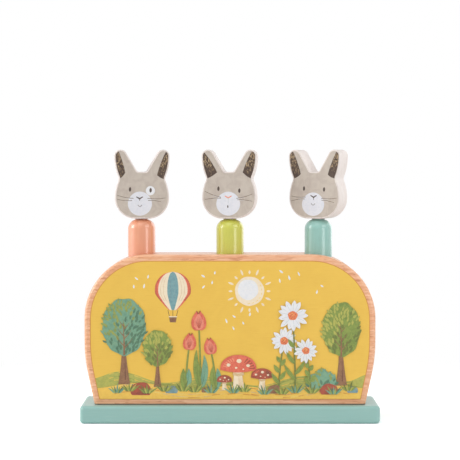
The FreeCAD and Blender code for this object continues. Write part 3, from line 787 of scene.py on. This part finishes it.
def drawMushroom(face, x, y, size, cap):
    chance, form = face.chance, mushroomForm
    pale, deep = ("blush", "russet") if cap == "coral" else ("coral", "umber")
    rim = form["rim"]
    foot = stem(x, y, size * form["foot"], 90, chance.uniform(-form["lean"], form["lean"]))
    face.draw("cream", ribbon(foot, lambda s: size * (form["footWidth"] - form["footTaper"] * s)))
    for k in range(form["footLines"]):
        line = [(u + size * (0.02 + 0.03 * k), v) for u, v in foot[1:12 - k]]
        face.draw("sand", stroke(line, size * 0.02, 0.1))
    half, ends, middle, thick = form["ring"]
    ring = [(x - size * half, y + size * ends), (x, y + size * middle), (x + size * half, y + size * ends)]
    face.draw("sand", ribbon(ring, lambda s: size * thick))
    dome = []
    for k in range(25):
        a = math.pi * k / 24
        height = size * form["rise"] * math.sin(a) ** 0.8
        dome.append((x + size * 0.5 * math.cos(a), y + size * rim + height))
    for k in range(1, 12):
        s = k / 12
        sag = size * form["sag"] * math.sin(math.pi * s)
        dome.append((x - size * 0.5 + size * s, y + size * rim - sag))
    face.draw(cap, dome)
    for k in range(form["deepRays"]):
        a = math.radians(8 + 12 * k)
        u, v = math.cos(a), math.sin(a)
        ray = [(x + size * 0.46 * t * u, y + size * (rim + 0.38 * t * v)) for t in (0.62, 0.75, 0.88, 1.0)]
        face.draw(deep if k < 5 else cap, stroke(ray, size * 0.02, size * 0.045))
    for k in range(form["paleRays"]):
        a = math.radians(112 + 10 * k)
        u, v = math.cos(a), math.sin(a)
        ray = [(x + size * 0.45 * t * u, y + size * (rim + 0.37 * t * v)) for t in (0.7, 0.85, 0.98)]
        face.draw(pale, stroke(ray, size * 0.02, size * 0.04))
    for u, v, r in form["spots"]:
        across, rise = x + u * size, y + size * (rim + v)
        face.draw("cream", wobbly(across, rise, r * size, r * size * 0.8, chance, 0.04, 5, 20))
        shade = [(x + (u + r * 0.28) * size, y + size * (rim + v - r * 0.22)),
                 (x + (u + r * 0.36) * size, y + size * (rim + v + r * 0.10))]
        face.draw("sand", stroke(shade, size * 0.014, 0.1))


daisyForm = {
    "stem": (1.2, 0.8), "leafWidth": 3.0, "leafAngle": 44,
    "leaves": [(0.12, -1), (0.24, 1), (0.36, -1), (0.48, 1), (0.60, -1)],   # how far up the stem, and side
    "petals": 13, "petalLength": (0.45, 0.52), "petalWidth": 0.16, "petalStray": 6,
    "eye": (0.30, 0.28), "seeds": 11,
}


def drawDaisy(face, x, y, height, lean, size):
    chance, form = face.chance, daisyForm
    path = stem(x, y, height, 90 - lean * 0.2, -lean)
    face.draw("olive", stroke(path, *form["stem"]))
    for share, side in form["leaves"]:
        lx, ly = path[round(share * (len(path) - 1))]
        length = height * 0.24 * (1.2 - share)
        angle = 90 - side * form["leafAngle"]
        face.draw("fern", leaf(lx, ly, length, form["leafWidth"], angle, side * 18))
        face.draw("olive", stroke(stem(lx, ly, length * 0.8, angle, side * 16), 0.3, 0.1))
    tx, ty = path[-1]
    for k in range(form["petals"]):
        angle = 360 * k / form["petals"] + chance.uniform(-form["petalStray"], form["petalStray"])
        length = size * chance.uniform(*form["petalLength"])
        face.draw("white", leaf(tx, ty, length, size * form["petalWidth"], angle, 0, 1.5))
        face.draw("mist", stroke(stem(tx, ty, length * 0.78, angle + 4), 0.12, 0.34))
    wide, high = form["eye"]
    face.draw("tangerine", wobbly(tx, ty, size * wide, size * high, chance, 0.05, 5, 24))
    for k in range(form["seeds"]):
        a, reach = spiral * k, size * 0.033 * math.sqrt(k)
        seed = oval(tx + reach * math.cos(a), ty + reach * math.sin(a), 0.6, 0.6, 0, 8)
        face.draw("russet" if k % 3 else "lemon", seed)


sunForm = {"rays": 16, "rayLength": (0.14, 0.22), "rayWidth": 1.5, "rayFrom": 0.58, "rings": 7}


def drawSun(face, x, y, size):
    form = sunForm
    face.draw("cream", wobbly(x, y, size, size, face.chance, 0.01, 7))
    disc = wobbly(x - size * 0.05, y + size * 0.05, size * 0.70, size * 0.70, face.chance, 0.015, 5)
    face.draw("white", disc)
    for k in range(form["rings"]):
        curve = [(x + size * 0.42 * math.cos(a), y + size * 0.42 * math.sin(a))
                 for a in [math.radians(-100 + 20 * k + 3 * j) for j in range(5)]]
        face.draw("lemon", stroke(curve, 0.2, 0.7))
    for k in range(form["rays"]):
        angle = math.radians(360 / form["rays"] * k)
        reach = size * form["rayFrom"]
        length = size * form["rayLength"][k % 2]
        face.draw("cream", leaf(x + reach * math.cos(angle), y + reach * math.sin(angle), length,
                                form["rayWidth"], math.degrees(angle), 0, 0.9))


balloonForm = {
    "gores": [("coral", "russet"), ("cream", "sand"), ("sky", "slate"), ("cream", "sand"),
              ("coral", "russet")],          # ink and shade
    "seams": (0.3, 0.62),                    # where the shade lines run in each gore
    "levels": 31, "foot": 1.12, "weave": 3,
}


def drawBalloon(face, x, y, size):
    # an envelope in gores, lines and a basket
    form = balloonForm
    last = form["levels"] - 1
    heights = [1 - (1 + form["foot"]) * k / last for k in range(form["levels"])]

    def side(share, v):
        # round above, drawn in to the mouth below
        half = math.sin(math.acos(max(-1, min(1, v)))) if v > -0.25 else 0.968 * (v + 1.25) ** 0.75
        return x + share * size / 2 * half, y + v * size / 2

    for k, (ink, shade) in enumerate(form["gores"]):
        left, right = -1 + 0.4 * k, -0.6 + 0.4 * k
        shape = [side(math.sin(math.pi / 2 * left), v) for v in heights]
        shape += [side(math.sin(math.pi / 2 * right), v) for v in reversed(heights)]
        face.draw(ink, [p for j, p in enumerate(shape) if math.dist(p, shape[j - 1]) > 0.02])
        for share in form["seams"]:
            line = math.sin(math.pi / 2 * (left + (right - left) * share))
            face.draw(shade, stroke([side(line, v) for v in heights[4:24]], 0.14, 0.3))
    foot = y - form["foot"] * size / 2
    for reach in (-1, 0, 1):
        rope = [(x + reach * size * 0.14, foot), (x + reach * size * 0.09, foot - size * 0.2)]
        face.draw("umber", stroke(rope, 0.35))
    basket = [(x - size * 0.11, foot - size * 0.18), (x - size * 0.08, foot - size * 0.34),
              (x + size * 0.08, foot - size * 0.34), (x + size * 0.11, foot - size * 0.18)]
    face.draw("bark", basket)
    for k in range(form["weave"]):
        level = foot - size * (0.22 + 0.04 * k)
        face.draw("umber", stroke([(x - size * 0.09, level), (x + size * 0.09, level)], 0.25))
    rim = [(x - size * 0.115, foot - size * 0.185), (x + size * 0.115, foot - size * 0.185)]
    face.draw("cream", stroke(rim, 0.7))


meadowForm = {
    "steps": 12,                             # of each wave
    "strands": 3, "strandDrop": 1.0, "strandGap": 2.4, "stray": 0.6, "strandWidth": (0.5, 0.12),
    "lowest": 1.2, "outermost": 88,          # no brush stroke lies past these
}


def drawMeadow(face, rises, ink, strokeInks):
    # ground whose top rolls in waves, with loose brush strokes on it: rises are (across, height)
    chance, form = face.chance, meadowForm
    top = []
    for (x0, h0), (x1, h1) in zip(rises, rises[1:]):
        for k in range(form["steps"]):
            ease = (1 - math.cos(math.pi * k / form["steps"])) / 2
            top.append((x0 + (x1 - x0) * k / form["steps"], h0 + (h1 - h0) * ease))
    top.append(rises[-1])
    fence = insetBy(face.outline, film["edge"][1])
    low = min(v for u, v in fence) - 1
    face.draw(ink, keepInside([(rises[0][0], low), (rises[-1][0], low)] + top[::-1], fence))
    for k in range(2, len(top) - 6, 2):
        for strand in range(form["strands"]):
            drop = form["strandDrop"] + form["strandGap"] * strand
            drop += chance.uniform(-form["stray"], form["stray"])
            path = [(u, v - drop) for u, v in top[k:k + chance.randint(3, 5)]]
            inside = all(abs(u) < form["outermost"] for u, v in path)
            if inside and min(v for u, v in path) > form["lowest"]:
                face.draw(chance.choice(strokeInks), stroke(path, *form["strandWidth"]))


tuftForm = {
    "inks": [("fern", "olive", "moss"), ("teal", "sage", "pine")],
    "blades": 7, "size": 8.0, "fan": 13, "width": 1.2,
    "first": -84, "spacing": 12, "foot": 5,
}


def drawTufts(face, count):
    # grass along the foot of the picture
    chance, form = face.chance, tuftForm
    for tuft in range(count):
        x = form["first"] + form["spacing"] * tuft + chance.uniform(-3, 3)
        y = form["foot"] + chance.uniform(-2, 1.5)
        inks = chance.choice(form["inks"])
        for blade in range(form["blades"]):
            turn = blade - form["blades"] // 2
            angle = 90 - turn * form["fan"] + chance.uniform(-4, 4)
            length = form["size"] * chance.uniform(0.6, 1.0)
            grass = leaf(x + turn * 0.6, y, length, form["width"], angle, -turn * 7, 0.7)
            face.draw(inks[blade % 3], grass)


def drawPebble(face, x, y, wide, high, ink, shade):
    # a stone with a flat foot and four lines of shade
    stone = [(u, max(v, y - high * 0.28)) for u, v in wobbly(x, y, wide, high, face.chance, 0.03, 5, 40)]
    face.draw(ink, [p for k, p in enumerate(stone) if math.dist(p, stone[k - 1]) > 0.02])
    for k in range(4):
        level = y - high * (0.20 - 0.09 * k)
        reach = wide * (0.40 - 0.05 * k)
        line = [(x - reach * 0.6 + k * 0.5, level), (x + reach, level + 0.2)]
        face.draw(shade, stroke(line, 0.3, 0.6 - 0.1 * k))


petalForm = {"length": (2.4, 3.6), "width": (1.0, 1.4), "angle": (20, 160)}


def drawPetals(face, *places):
    # loose pale petals in the air
    chance = face.chance
    for x, y in places:
        length, width = chance.uniform(*petalForm["length"]), chance.uniform(*petalForm["width"])
        face.draw("white", leaf(x, y, length, width, chance.uniform(*petalForm["angle"])))


def layEdge(face, name):
    # the darker line where the panel's ink ends: one closed ring
    loops = [insetBy(face.outline, distance) for distance in film["edge"]]
    heights = (film["lift"], film["lift"] + film["sheet"])
    form = bmesh.new()
    lowOuter, lowInner, highOuter, highInner = [
        [form.verts.new(face.spot(p, height)) for p in loop] for height in heights for loop in loops]
    bands = [(highOuter, highInner), (highInner, lowInner), (lowInner, lowOuter), (lowOuter, highOuter)]
    for k in range(len(lowOuter)):
        for a, b in bands:
            form.faces.new((a[k - 1], a[k], b[k], b[k - 1]))
    bmesh.ops.recalc_face_normals(form, faces=form.faces)
    makePiece(name, form, inkFinish("edge", False), "toy_body")


# the two pictures: places are millimetres across from the panel's middle and up from its foot
def mirrored(places):
    return [(-u, v) for u, v in reversed(places)]


hills = [(-100, 15), (-80, 20), (-46, 12), (-18, 16), (20, 10), (54, 17), (84, 13), (100, 18)]
field = [(-100, 8), (-66, 12), (-30, 7.5), (4, 10), (38, 7), (72, 11.5), (100, 8)]
hillInks = ("moss", ["sage", "fern", "ochre"])
fieldInks = ("ochre", ["lemon", "edge", "sand"])
petals = [(-66, 86), (-62, 80), (-69, 80), (-59, 87), (-18, 88), (-13, 83), (-20, 80), (-11, 90), (38, 91),
          (43, 86), (50, 89), (36, 84), (-2, 55), (4, 59), (10, 54), (3, 50), (14, 60), (62, 76), (67, 81)]

# every motif with its places and sizes, in the order of printing
frontPicture = [
    (drawMeadow, [(hills, *hillInks), (field, *fieldInks)]),
    (drawSun, [(14, 78, 21)]),
    (drawBalloon, [(-41, 79, 26)]),
    (drawTree, [(-76, 11, 62, (31, 41), "pine"), (-52, 9, 41, (20, 26), "fern"),
                (80, 10, 60, (27, 39), "fern")]),
    (drawBush, [(66, 7, 20, 19, "pine")]),
    (drawTulip, [(-32, 7, 30, 6), (-21, 7, 44, -2), (-10, 7, 27, -9)]),
    (drawMushroom, [(6, 7, 26, "coral"), (23, 7, 16, "russet"), (-4, 7, 11, "russet")]),
    (drawDaisy, [(35, 6.5, 36, 9, 20), (47, 6.5, 54, -3, 23), (58, 6.5, 29, -10, 18)]),
    (drawPebble, [(-64, 6.5, 15, 12, "russet", "umber"), (-42, 6.5, 9, 7, "slate", "sky"),
                  (32, 6.5, 10, 8, "bark", "umber"), (71, 6.5, 13, 10, "russet", "umber"),
                  (-17, 6.5, 7, 5, "bark", "umber"), (88, 6.5, 8, 6, "slate", "sky")]),
    (drawTufts, [(15,)]),
    (drawPetals, [petals]),
]
backPicture = [
    (drawMeadow, [(mirrored(hills), *hillInks), (mirrored(field), *fieldInks)]),
    (drawSun, [(-34, 76, 20)]),
    (drawTree, [(70, 10, 58, (28, 38), "fern"), (-72, 9, 46, (22, 29), "pine")]),
    (drawDaisy, [(-46, 6.5, 28, 8, 18), (-33, 6.5, 42, -4, 20), (36, 6.5, 34, 6, 19)]),
    (drawTulip, [(2, 7, 36, 4), (14, 7, 26, -6)]),
    (drawPebble, [(-14, 6.5, 14, 11, "russet", "umber"), (50, 6.5, 9, 7, "slate", "sky")]),
    (drawTufts, [(15,)]),
    (drawPetals, [[(-u * 0.8, v) for u, v in petals[:9]]]),
]


def printPanel(side, outward, seed, picture):
    node = side + "_print"
    face = PrintedFace(node, outward, Vector((0, 0, 0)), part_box(node)[0].z, random.Random(seed))
    layEdge(face, node + "_edge")
    for motif, places in picture:
        for place in places:
            motif(face, *place)
    face.lay(side + "_picture", "toy_body", False)
    print(side, "picture laid")


# the rabbits' faces
# places are millimetres across and up from the middle of the head's foot
faceLooks = {
    "coral": {
        "muzzle": (-1.6, 10.9, 17.5, 17.5), "eyes": [(-8.7, 21.2), (6.2, 20.6)], "patch": (6.0, 20.3, 6.6),
        "nose": (-1.8, 14.4), "noseInk": "dark", "noseLine": 1.5, "mouth": "smile", "mouthAt": (-1.6, 8.8),
        "whiskers": [((-18.0, 17.0), (-6.2, 14.7)), ((-18.0, 14.1), (-7.2, 13.1)),
                     ((17.0, 15.0), (3.9, 14.7)), ((13.7, 12.2), (4.3, 13.2))],
        "ears": [((-15.7, 29.2), (-12.1, 33.2), (-17.1, 48.5)), ((14.7, 28.4), (10.8, 31.5), (17.3, 48.5))],
    },
    "lime": {
        "muzzle": (-0.6, 10.9, 17.4, 17.35), "eyes": [(-7.7, 21.7), (7.5, 20.3)], "patch": None,
        "nose": (-0.6, 15.0), "noseInk": "blush", "noseLine": 4.0, "mouth": "drop", "mouthAt": (-0.9, 9.0),
        "whiskers": [((-17.5, 19.8), (-5.8, 15.5)), ((-17.5, 13.9), (-5.8, 14.8)),
                     ((17.1, 18.0), (5.3, 14.7)), ((16.9, 12.6), (6.0, 13.7))],
        "ears": [((-15.8, 29.2), (-8.6, 33.5), (-18.2, 48.2)), ((14.1, 29.2), (9.9, 33.5), (16.7, 48.7))],
    },
    "mint": {
        "muzzle": (-0.8, 10.5, 17.4, 17.0), "eyes": [(-7.9, 21.8), (7.8, 21.2)], "patch": None,
        "nose": (-0.4, 15.4), "noseInk": "dark", "noseLine": 2.0, "mouth": "smile", "mouthAt": (-0.8, 9.8),
        "whiskers": [((-18.0, 16.4), (-6.6, 15.6)), ((-18.0, 12.8), (-7.2, 14.2)),
                     ((17.6, 15.0), (5.6, 14.8)), ((15.6, 11.6), (5.8, 13.4))],
        "ears": [((-15.7, 29.3), (-10.4, 32.2), (-16.4, 48.8)), ((15.2, 29.2), (10.6, 31.8), (17.2, 48.6))],
    },
}
faceMarks = {
    "seed": 11,
    "eye": (1.7, 3.4), "muzzleTaper": 0.10,
    "nose": (2.4, 1.5), "noseWidth": 0.84, "noseAngle": 54, "noseBend": 12, "faintFrom": 3,
    "smile": (1.5, 1.2), "smileWidth": 0.5, "drop": (0.9, 2.3),       # across and up
    "whiskerWidth": 0.36, "whiskerShine": 0.34, "whiskerSag": (0.5, -0.4),     # rising and falling
    "earStrokes": 170, "earDabLength": (0.9, 2.0), "earDabWidth": (0.24, 0.44), "earDabAngle": (60, 125),
    "earFootShare": 0.10,      # share of the strokes that stay at the ear's foot
    "hayFrom": 0.4,            # how far up the ear the palest straw starts
}


def innerEar(outline, root, corner, tip):
    # along the print's own edge from the nick to the tip, and back by a curve through the inner corner
    def nearest(place):
        return min(range(len(outline)), key=lambda k: math.dist(outline[k], place))

    first, last = nearest(root), nearest(tip)
    count = len(outline)
    ways = [[(first + k) % count for k in range((last - first) % count + 1)],
            [(first - k) % count for k in range((first - last) % count + 1)]]
    edge = [Vector(outline[k]) for k in min(ways, key=len)]
    start, end, turn = edge[-1], edge[0], Vector(corner)
    bulge = start.lerp(turn, 0.5) + Vector((math.copysign(0.9, -turn.x), 0.6))
    inner = []
    for k in range(1, 12):
        s = k / 12
        inner.append(start * (1 - s) ** 2 + bulge * 2 * s * (1 - s) + turn * s ** 2)
    foot = [turn.lerp(end, s) + Vector((0, -0.5 * math.sin(math.pi * s))) for s in (0, 0.25, 0.5, 0.75)]
    shape = edge + inner + foot
    middle = sum(shape, Vector((0, 0))) / len(shape)
    return [tuple(p + (middle - p).normalized() * 0.06) for p in shape]


def within(shape, x, y):
    inside = False
    for (u0, v0), (u1, v1) in zip(shape, shape[1:] + shape[:1]):
        if (v0 <= y) != (v1 <= y) and x < u0 + (u1 - u0) * (y - v0) / (v1 - v0):
            inside = not inside
    return inside


def drawInnerEar(face, root, corner, tip):
    # a dark patch with straw-coloured brush strokes that crowd towards the tip
    chance, marks = face.chance, faceMarks
    shape = innerEar(face.outline, root, corner, tip)
    face.draw("cocoa", shape)
    low, high = min(v for u, v in shape), max(v for u, v in shape)
    left, right = min(u for u, v in shape), max(u for u, v in shape)
    made = 0
    while made < marks["earStrokes"]:
        u, v = chance.uniform(left, right), chance.uniform(low, high)
        rise = (v - low) / (high - low)
        if chance.random() > marks["earFootShare"] + (1 - marks["earFootShare"]) * rise:
            continue
        length, width = chance.uniform(*marks["earDabLength"]), chance.uniform(*marks["earDabWidth"])
        dab = leaf(u, v, length, width, chance.uniform(*marks["earDabAngle"]))
        if all(within(shape, *point) for point in dab[::3]):
            face.draw(chance.choice(["straw", "hay" if rise > marks["hayFrom"] else "dark"]), dab)
        made += 1


def drawEye(face, x, y):
    wide, high = faceMarks["eye"]
    path = stem(x - 0.1, y - high / 2, high, 87)
    face.draw("dark", ribbon(path, lambda s: wide * (4 * s * (1 - s)) ** 0.6))


def drawNose(face, x, y, ink, length):
    # two wings and the line under them, which is faint where it is long
    marks = faceMarks
    width = marks["noseWidth"]
    for side in (-1, 1):
        angle, bend = 90 - side * marks["noseAngle"], -side * marks["noseBend"]
        wing = stem(x, y, math.hypot(*marks["nose"]), angle, bend)
        face.draw(ink, stroke(wing, width * 1.2, width * 0.75))
    line = stroke([(x, y + 0.2), (x, y - length)], width * 0.7, 0.25)
    face.draw(ink if length < marks["faintFrom"] else "mist", line)


def drawMouth(face, x, y, kind):
    if kind == "smile":
        reach, rise = faceMarks["smile"]
        curve = [(x + reach * k / 6, y + rise * (k / 6) ** 2) for k in range(-6, 7)]
        face.draw("grey", stroke(curve, faceMarks["smileWidth"]))
    else:
        wide, high = faceMarks["drop"]
        face.draw("dark", leaf(x, y - high / 2, high, wide, 88, 0, 0.6))


def drawWhisker(face, outer, inner):
    # a hair that bends a little, with a pale line under its inner half
    width = faceMarks["whiskerWidth"]
    upper, lower = faceMarks["whiskerSag"]
    sag = upper if outer[1] > inner[1] else lower
    hair = []
    for k in range(13):
        s = k / 12
        hair.append((outer[0] + (inner[0] - outer[0]) * s,
                     outer[1] + (inner[1] - outer[1]) * s - sag * math.sin(math.pi * s)))
    face.draw("white", stroke([(u, v - 0.3) for u, v in hair[6:]], 0.1, faceMarks["whiskerShine"]))
    face.draw("whisker", stroke(hair, width * 0.8, width * 1.2))


def drawFace(face, look):
    for ear in look["ears"]:
        drawInnerEar(face, *ear)
    x, y, wide, high = look["muzzle"]
    taper = faceMarks["muzzleTaper"]
    egg = [(u + (x - u) * taper * max(0, (v - y) / high), v) for u, v in oval(x, y, wide, high, 0, 56)]
    face.draw("muzzle", egg)
    if look["patch"]:
        px, py, size = look["patch"]
        face.draw("white", oval(px, py, size, size * 1.02, 0, 36))
    for eye in look["eyes"]:
        drawEye(face, *eye)
    drawNose(face, *look["nose"], look["noseInk"], look["noseLine"])
    drawMouth(face, *look["mouthAt"], look["mouth"])
    for whisker in look["whiskers"]:
        drawWhisker(face, *whisker)


puffForm = {
    "seed": 3, "middle": (0.0, 11.5), "size": 11.5, "height": 0.94,
    "tufts": 30, "tuftBend": 30,             # how many, and degrees
    "tuftRoot": (0.36, 0.34), "tuftLength": (0.20, 0.27), "tuftWidth": 0.12,       # shares of the size
    "hairs": 34, "hairReach": 0.40,          # how many, and how far out, as a share of the size
    "hairLength": (1.0, 1.8), "hairWidth": (0.26, 0.08),
}


def drawPuff(face):
    # a round fluffy puff on the back of the head: tufts round its edge and fine hairs on it
    chance, form = face.chance, puffForm
    x, y = form["middle"]
    size = form["size"]
    face.draw("white", wobbly(x, y, size, size * form["height"], chance, 0.02, 7))
    across, rise = form["tuftRoot"]
    for k in range(form["tufts"]):
        angle = 360 * k / form["tufts"] + chance.uniform(-5, 5)
        u, v = math.cos(math.radians(angle)), math.sin(math.radians(angle))
        length, turned = size * chance.uniform(*form["tuftLength"]), angle + chance.uniform(-14, 14)
        bend = chance.uniform(-form["tuftBend"], form["tuftBend"])
        root = (x + size * across * u, y + size * rise * v)
        face.draw("white", leaf(*root, length, size * form["tuftWidth"], turned, bend))
    for k in range(form["hairs"]):
        reach, a = size * form["hairReach"] * math.sqrt((k + 0.5) / form["hairs"]), spiral * k
        root = (x + reach * math.cos(a), y + reach * math.sin(a))
        hair = stem(*root, chance.uniform(*form["hairLength"]), math.degrees(a) + chance.uniform(-20, 20))
        face.draw("mist" if k % 3 else "slate", stroke(hair, *form["hairWidth"]))


def faceDirection(node):
    # the way the largest flat face of the print looks, among those towards the front
    mesh = nodes[node].data
    total = Vector((0, 0, 0))
    for p in mesh.polygons:
        if p.normal.y < -0.5 and abs(p.normal.z) < 0.02:
            total += p.normal * p.area ** 2
    return total.normalized()


def printFaces():
    chance = random.Random(faceMarks["seed"])
    for colour in pegColours:
        low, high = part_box(colour + "_peg")
        middle = Vector(((low.x + high.x) / 2, (low.y + high.y) / 2, 0))
        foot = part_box(colour + "_head")[0].z
        outward = faceDirection(colour + "_face_print")
        face = PrintedFace(colour + "_face_print", outward, middle, foot, chance)
        drawFace(face, faceLooks[colour])
        face.lay(colour + "_face", colour + "_peg_body", True)
        napeChance = random.Random(puffForm["seed"])
        nape = PrintedFace(colour + "_nape_print", -outward, middle, foot, napeChance)
        drawPuff(nape)
        nape.lay(colour + "_nape", colour + "_peg_body", True)
    print("faces printed")


# springs
springForm = {
    "wire": 1.2, "coilDiameter": 17.0, "turns": 10, "closedTurns": 1, "narrowingTurns": 0.5,
    "stepsPerTurn": 28, "ringPoints": 12,
    "meshRadius": 0.4985,      # of the wire, so that the mesh stays just inside the CAD wire
}


def springPath(low, high):
    # closed wide turn at the foot, open turns of even pitch, and a closed turn under the cap
    wire = springForm["wire"] * mm
    footRadius = (high.x - low.x - wire) / 2
    bodyRadius = (springForm["coilDiameter"] * mm - wire) / 2
    turns, closed = springForm["turns"], springForm["closedTurns"]
    pitch = (high.z - low.z - wire - 2 * closed * wire) / (turns - 2 * closed)
    steps = springForm["stepsPerTurn"]
    centre = Vector(((low.x + high.x) / 2, (low.y + high.y) / 2, 0))
    path, height = [], low.z + wire / 2
    for k in range(turns * steps + 1):
        turn = k / steps
        narrowed = min(max((turn - closed) / springForm["narrowingTurns"], 0), 1)
        radius = footRadius + (bodyRadius - footRadius) * (1 - math.cos(math.pi * narrowed)) / 2
        angle = 2 * math.pi * turn
        path.append(centre + Vector((radius * math.cos(angle), radius * math.sin(angle), height)))
        height += (wire if turn < closed or turn >= turns - closed else pitch) / steps
    return path, centre


def windWire(path, centre):
    # a closed tube of rings along the path
    points, radius = springForm["ringPoints"], springForm["meshRadius"]
    wire = springForm["wire"] * mm
    form = bmesh.new()
    rings = []
    for k, point in enumerate(path):
        ahead = (path[min(k + 1, len(path) - 1)] - path[max(k - 1, 0)]).normalized()
        outward = Vector((point.x - centre.x, point.y - centre.y, 0)).normalized()
        outward = (outward - ahead * outward.dot(ahead)).normalized()
        other = ahead.cross(outward)
        ring = []
        for j in range(points):
            a = 2 * math.pi * j / points
            aside = outward * math.cos(a) + other * math.sin(a)
            ring.append(form.verts.new(point + aside * wire * radius))
        rings.append(ring)
    for before, after in zip(rings, rings[1:]):
        for j in range(len(before)):
            form.faces.new((before[j - 1], before[j], after[j], after[j - 1])).smooth = True
    form.faces.new(rings[0])
    form.faces.new(rings[-1][::-1])
    bmesh.ops.recalc_face_normals(form, faces=form.faces)
    return form


def coilSpring(colour):
    low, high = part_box(colour + "_spring")
    path, centre = springPath(low, high)
    form = windWire(path, centre)
    piece = makePiece(colour + "_spring_wire", form, springSteel, colour + "_spring_body")
    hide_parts(colour + "_spring")
    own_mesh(piece)


printPanel("front", Vector((0, -1, 0)), 7, frontPicture)
printPanel("back", Vector((0, 1, 0)), 8, backPicture)
printFaces()
for colour in pegColours:
    coilSpring(colour)
print("springs wound")


# floor, light and background
studio = {
    "floorSize": 8.0,           # metres
    "floorGap": 0.02,           # millimetres under the toy
    "floorTone": 0.92,          # what the floor throws back at the toy
    "floorSeen": 1.45,          # what the camera sees of it, where the toy's shadow falls
    "whiteFrom": (0.16, 0.42),  # it fades to plain white between these distances from the toy's middle
    "surround": 0.45,           # even light from all round
    "lamps": [
        # name, degrees round from the camera (left is minus), height, distance, wide, tall, watts
        ("leftLamp", -84, 0.56, 1.25, 1.10, 1.1, 5.4),
        ("rightLamp", 44, 0.16, 1.00, 0.36, 0.28, 1.2),
        ("rightUpperLamp", 54, 0.80, 1.00, 0.70, 0.50, 3.3),
        ("leftUpperLamp", -84, 0.56, 1.15, 0.46, 0.46, 5.2),
        ("backLamp", 140, 0.50, 1.30, 0.90, 0.9, 3.0),
        ("topLamp", -15, 1.35, 0.70, 0.80, 0.8, 2.3),
    ],
    "aim": (0.0, 0.0, 0.11),
}


def addFloor():
    size = studio["floorSize"] / 2
    mesh = bpy.data.meshes.new("studioFloor")
    corners = [(-size, -size, 0), (size, -size, 0), (size, size, 0), (-size, size, 0)]
    mesh.from_pydata(corners, [], [(0, 1, 2, 3)])
    floor = bpy.data.objects.new("studioFloor", mesh)
    floor.location.z = -studio["floorGap"] * mm
    bpy.context.scene.collection.objects.link(floor)
    material = bpy.data.materials.new("studioFloor")
    material.use_nodes = True
    tree = material.node_tree
    tree.nodes.clear()
    path = add(tree, "ShaderNodeLightPath")
    seen = reckon(tree, "MAXIMUM", path.outputs["Is Camera Ray"], path.outputs["Is Glossy Ray"])
    tone, bright = studio["floorTone"], studio["floorSeen"]
    matte = add(tree, "ShaderNodeBsdfDiffuse", {"Color": (tone, tone, tone, 1)})
    lit = add(tree, "ShaderNodeBsdfDiffuse", {"Color": (bright, bright, bright, 1)})
    white = add(tree, "ShaderNodeEmission", {"Color": (1, 1, 1, 1), "Strength": 1.0})
    place = add(tree, "ShaderNodeTexCoord").outputs["Object"]
    fading = spread(tree, lengthOf(tree, place), studio["whiteFrom"])
    shown = add(tree, "ShaderNodeMixShader", {0: fading, 1: lit.outputs[0], 2: white.outputs[0]})
    mixed = add(tree, "ShaderNodeMixShader", {0: seen, 1: matte.outputs[0], 2: shown.outputs[0]})
    out = add(tree, "ShaderNodeOutputMaterial")
    tree.links.new(mixed.outputs[0], out.inputs["Surface"])
    mesh.materials.append(material)


def addSurround():
    world = bpy.data.worlds.new("studioWorld")
    world.use_nodes = True
    tree = world.node_tree
    tree.nodes.clear()
    path = add(tree, "ShaderNodeLightPath")
    seen = reckon(tree, "MAXIMUM", path.outputs["Is Camera Ray"], path.outputs["Is Glossy Ray"])
    seen = reckon(tree, "MAXIMUM", seen, path.outputs["Is Transmission Ray"])
    even = add(tree, "ShaderNodeBackground", {"Color": (1, 1, 1, 1), "Strength": studio["surround"]})
    white = add(tree, "ShaderNodeBackground", {"Color": (1, 1, 1, 1), "Strength": 1.0})
    mixed = add(tree, "ShaderNodeMixShader", {0: seen, 1: even.outputs[0], 2: white.outputs[0]})
    out = add(tree, "ShaderNodeOutputWorld")
    tree.links.new(mixed.outputs[0], out.inputs["Surface"])
    bpy.context.scene.world = world


def addLamps():
    aim = Vector(studio["aim"])
    for name, angle, height, distance, wide, tall, watts in studio["lamps"]:
        data = bpy.data.lights.new(name, "AREA")
        data.shape = "RECTANGLE"
        data.size = wide
        data.size_y = tall
        data.energy = watts
        lamp = bpy.data.objects.new(name, data)
        turn = math.radians(angle)
        lamp.location = (distance * math.sin(turn), -distance * math.cos(turn), height)
        lamp.rotation_euler = (aim - lamp.location).to_track_quat("-Z", "Y").to_euler()
        bpy.context.scene.collection.objects.link(lamp)


addFloor()
addSurround()
addLamps()
print("studio lit")
